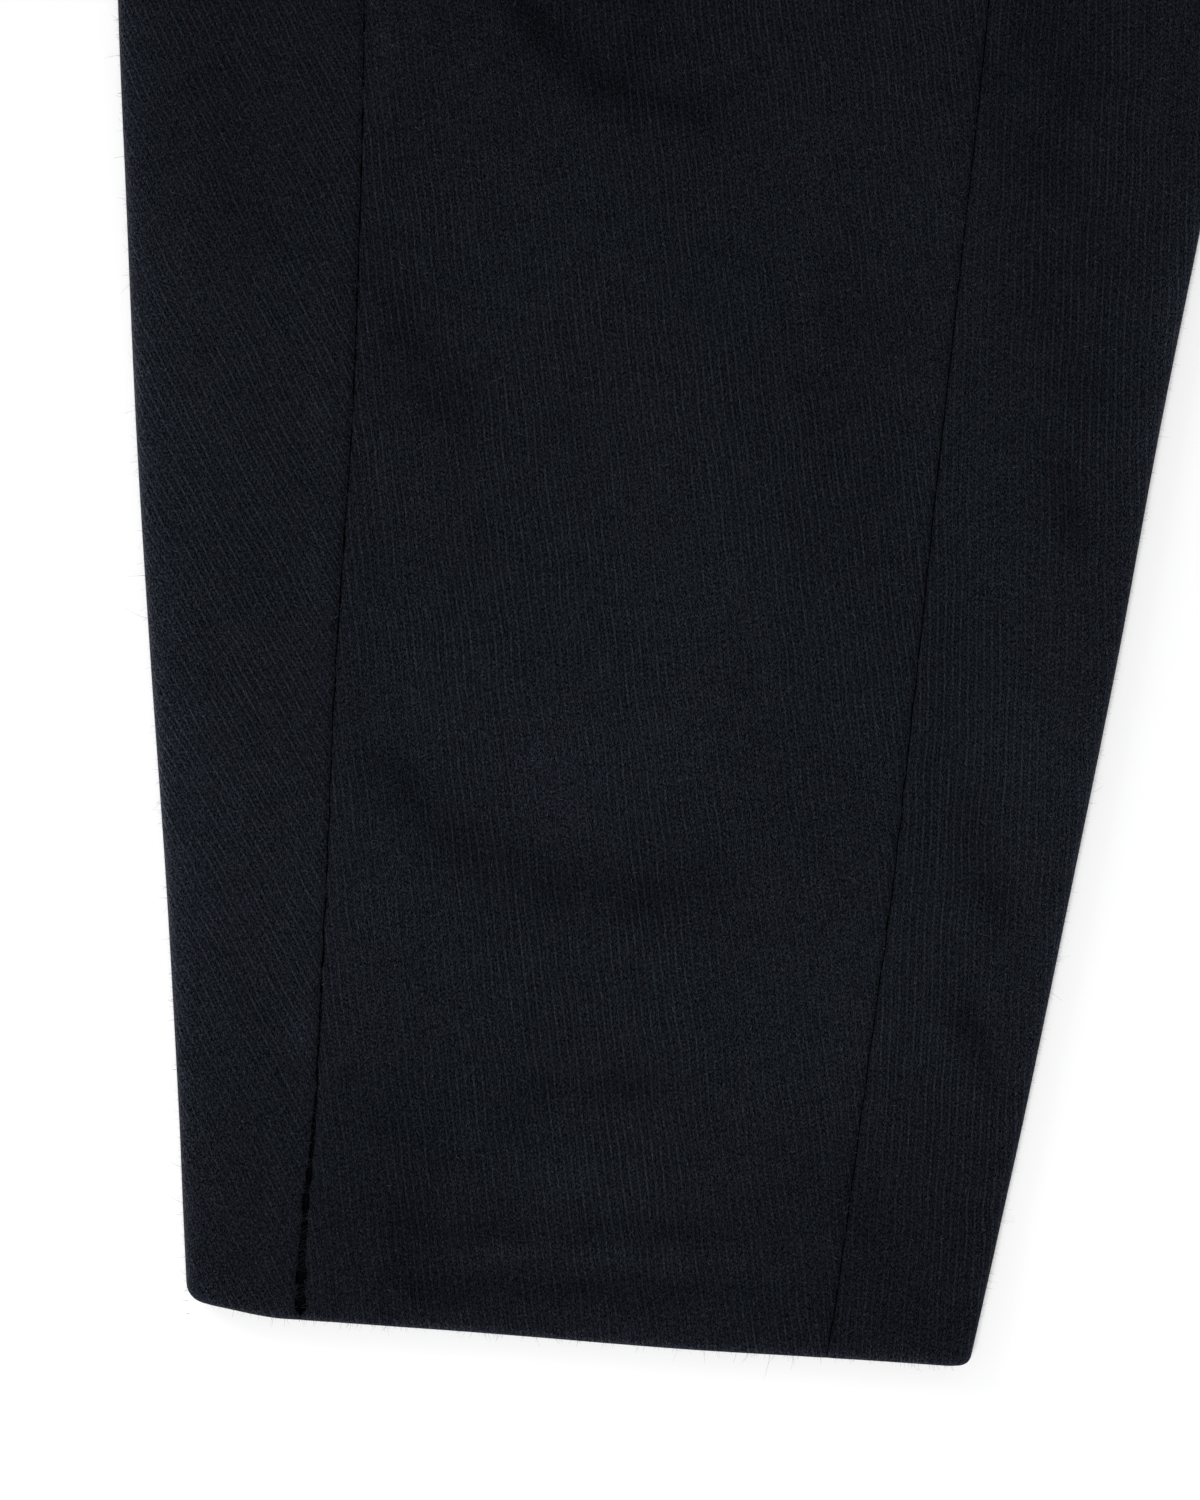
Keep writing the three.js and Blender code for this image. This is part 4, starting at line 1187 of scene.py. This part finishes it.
def horn_material():
    """A dark polished resin button with cloudy streaks."""
    material, shader = new_material("button_resin", 0.28, 0.5)
    g = Graph(material)
    clouds = g.noise(g.stretch(g.place(), (1, 2.6, 1), 35), 4, 4, 0.6, flat=False)
    shade = g.mix(g.remap(clouds, 0.35, 0.75), (0.006, 0.007, 0.010, 1), (0.030, 0.031, 0.038, 1))
    g.plug(shader.inputs["Base Color"], shade)
    g.plug(shader.inputs["Normal"], g.bump(clouds, 0.05, 0.4))
    return material


# ------------------------------------------------------------------ camera, light and table
PIXELS_PER_MM = 4.5
PICTURE = (1200, 1500)
LEG_MIDDLE_PIXEL = (580, 1332)  # where the nominal middle of the hem lies in the picture
LEG_MIDDLE_X = -225
CAMERA_HEIGHT = 1500
EDGE_HEIGHT = 2.5  # height of the folded edges over the table, where the picture's scale holds
SENSOR = 36
AIM = (-0.2, -0.3, 0)
LIGHT_SIZE = 1.8
LIGHTS = {"front": ((-0.6, -1.9, 3.0), 109), "behind": ((-2.8, 1.95, 1.2), 41)}  # place and power
SKY_STRENGTH = 0.25
TABLE_HALF = 8.0
TABLE_DROP = 0.0001  # the table lies just below the cloth's underside
TABLE_WHITE = (0.93, 0.93, 0.935, 1)


def camera():
    data = bpy.data.cameras.new("camera")
    obj = new_object("camera", data)
    middle_x = LEG_MIDDLE_X + (PICTURE[0] / 2 - LEG_MIDDLE_PIXEL[0]) / PIXELS_PER_MM
    middle_y = (LEG_MIDDLE_PIXEL[1] - PICTURE[1] / 2) / PIXELS_PER_MM - HEIGHT_OF_ORIGIN
    obj.location = (middle_x * MM, middle_y * MM, (CAMERA_HEIGHT + EDGE_HEIGHT) * MM)
    data.sensor_width = SENSOR
    data.lens = SENSOR * CAMERA_HEIGHT / (PICTURE[1] / PIXELS_PER_MM)
    data.clip_start = 0.05
    data.clip_end = 50
    bpy.context.scene.camera = obj


def area_light(name, location, power):
    data = bpy.data.lights.new(name, "AREA")
    data.shape = "SQUARE"
    data.size = LIGHT_SIZE
    data.energy = power
    obj = new_object(name, data)
    obj.location = location
    obj.rotation_euler = (Vector(AIM) - Vector(location)).to_track_quat("-Z", "Y").to_euler()


def studio():
    world = bpy.data.worlds.new("studio")
    world.use_nodes = True
    background = world.node_tree.nodes["Background"]
    background.inputs["Color"].default_value = (1, 1, 1, 1)
    background.inputs["Strength"].default_value = SKY_STRENGTH
    bpy.context.scene.world = world
    bpy.context.scene.view_settings.view_transform = "Standard"
    for name, (location, power) in LIGHTS.items():
        area_light(name, location, power)
    half = TABLE_HALF
    mesh = bpy.data.meshes.new("table")
    corners = [(-half, -half, 0), (half, -half, 0), (half, half, 0), (-half, half, 0)]
    mesh.from_pydata(corners, [], [(0, 1, 2, 3)])
    table = new_object("table", mesh)
    table.location = (0, 0, -TABLE_DROP)
    material, shader = new_material("table_white", 0.9, 0.1)
    shader.inputs["Base Color"].default_value = TABLE_WHITE
    mesh.materials.append(material)
    table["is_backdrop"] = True


# ------------------------------------------------------------------ the slacks
camera()
studio()
twill = twill_material()
fibre, fluff, hair, thread, tape = [mottled_material(name, *finish) for name, finish in FINISHES.items()]
for side_name, side in (("right", -1), ("left", 1)):
    back_piece(f"back_{side_name}", side, twill)
    front_piece(f"front_{side_name}", side, twill)
    slit_bars(f"slit_bars_{side_name}", side, thread, 40 + side)
    for name, (low, high, count, seed) in FIBRES.items():
        loose_fibres(f"{name}_{side_name}", side, low, high, count, fibre, seed + side)
    seam_fuzz(f"seam_fuzz_{side_name}", side, fluff, 80 + side)
    edge_fuzz(f"edge_fuzz_{side_name}", side, hair, 70 + side)
waistband(twill)
fly_stitching(thread)
buttonhole(thread)
button(horn_material(), thread)
zip_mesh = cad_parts["zip"].data
zip_mesh.materials.clear()
zip_mesh.materials.append(tape)

low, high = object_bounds()
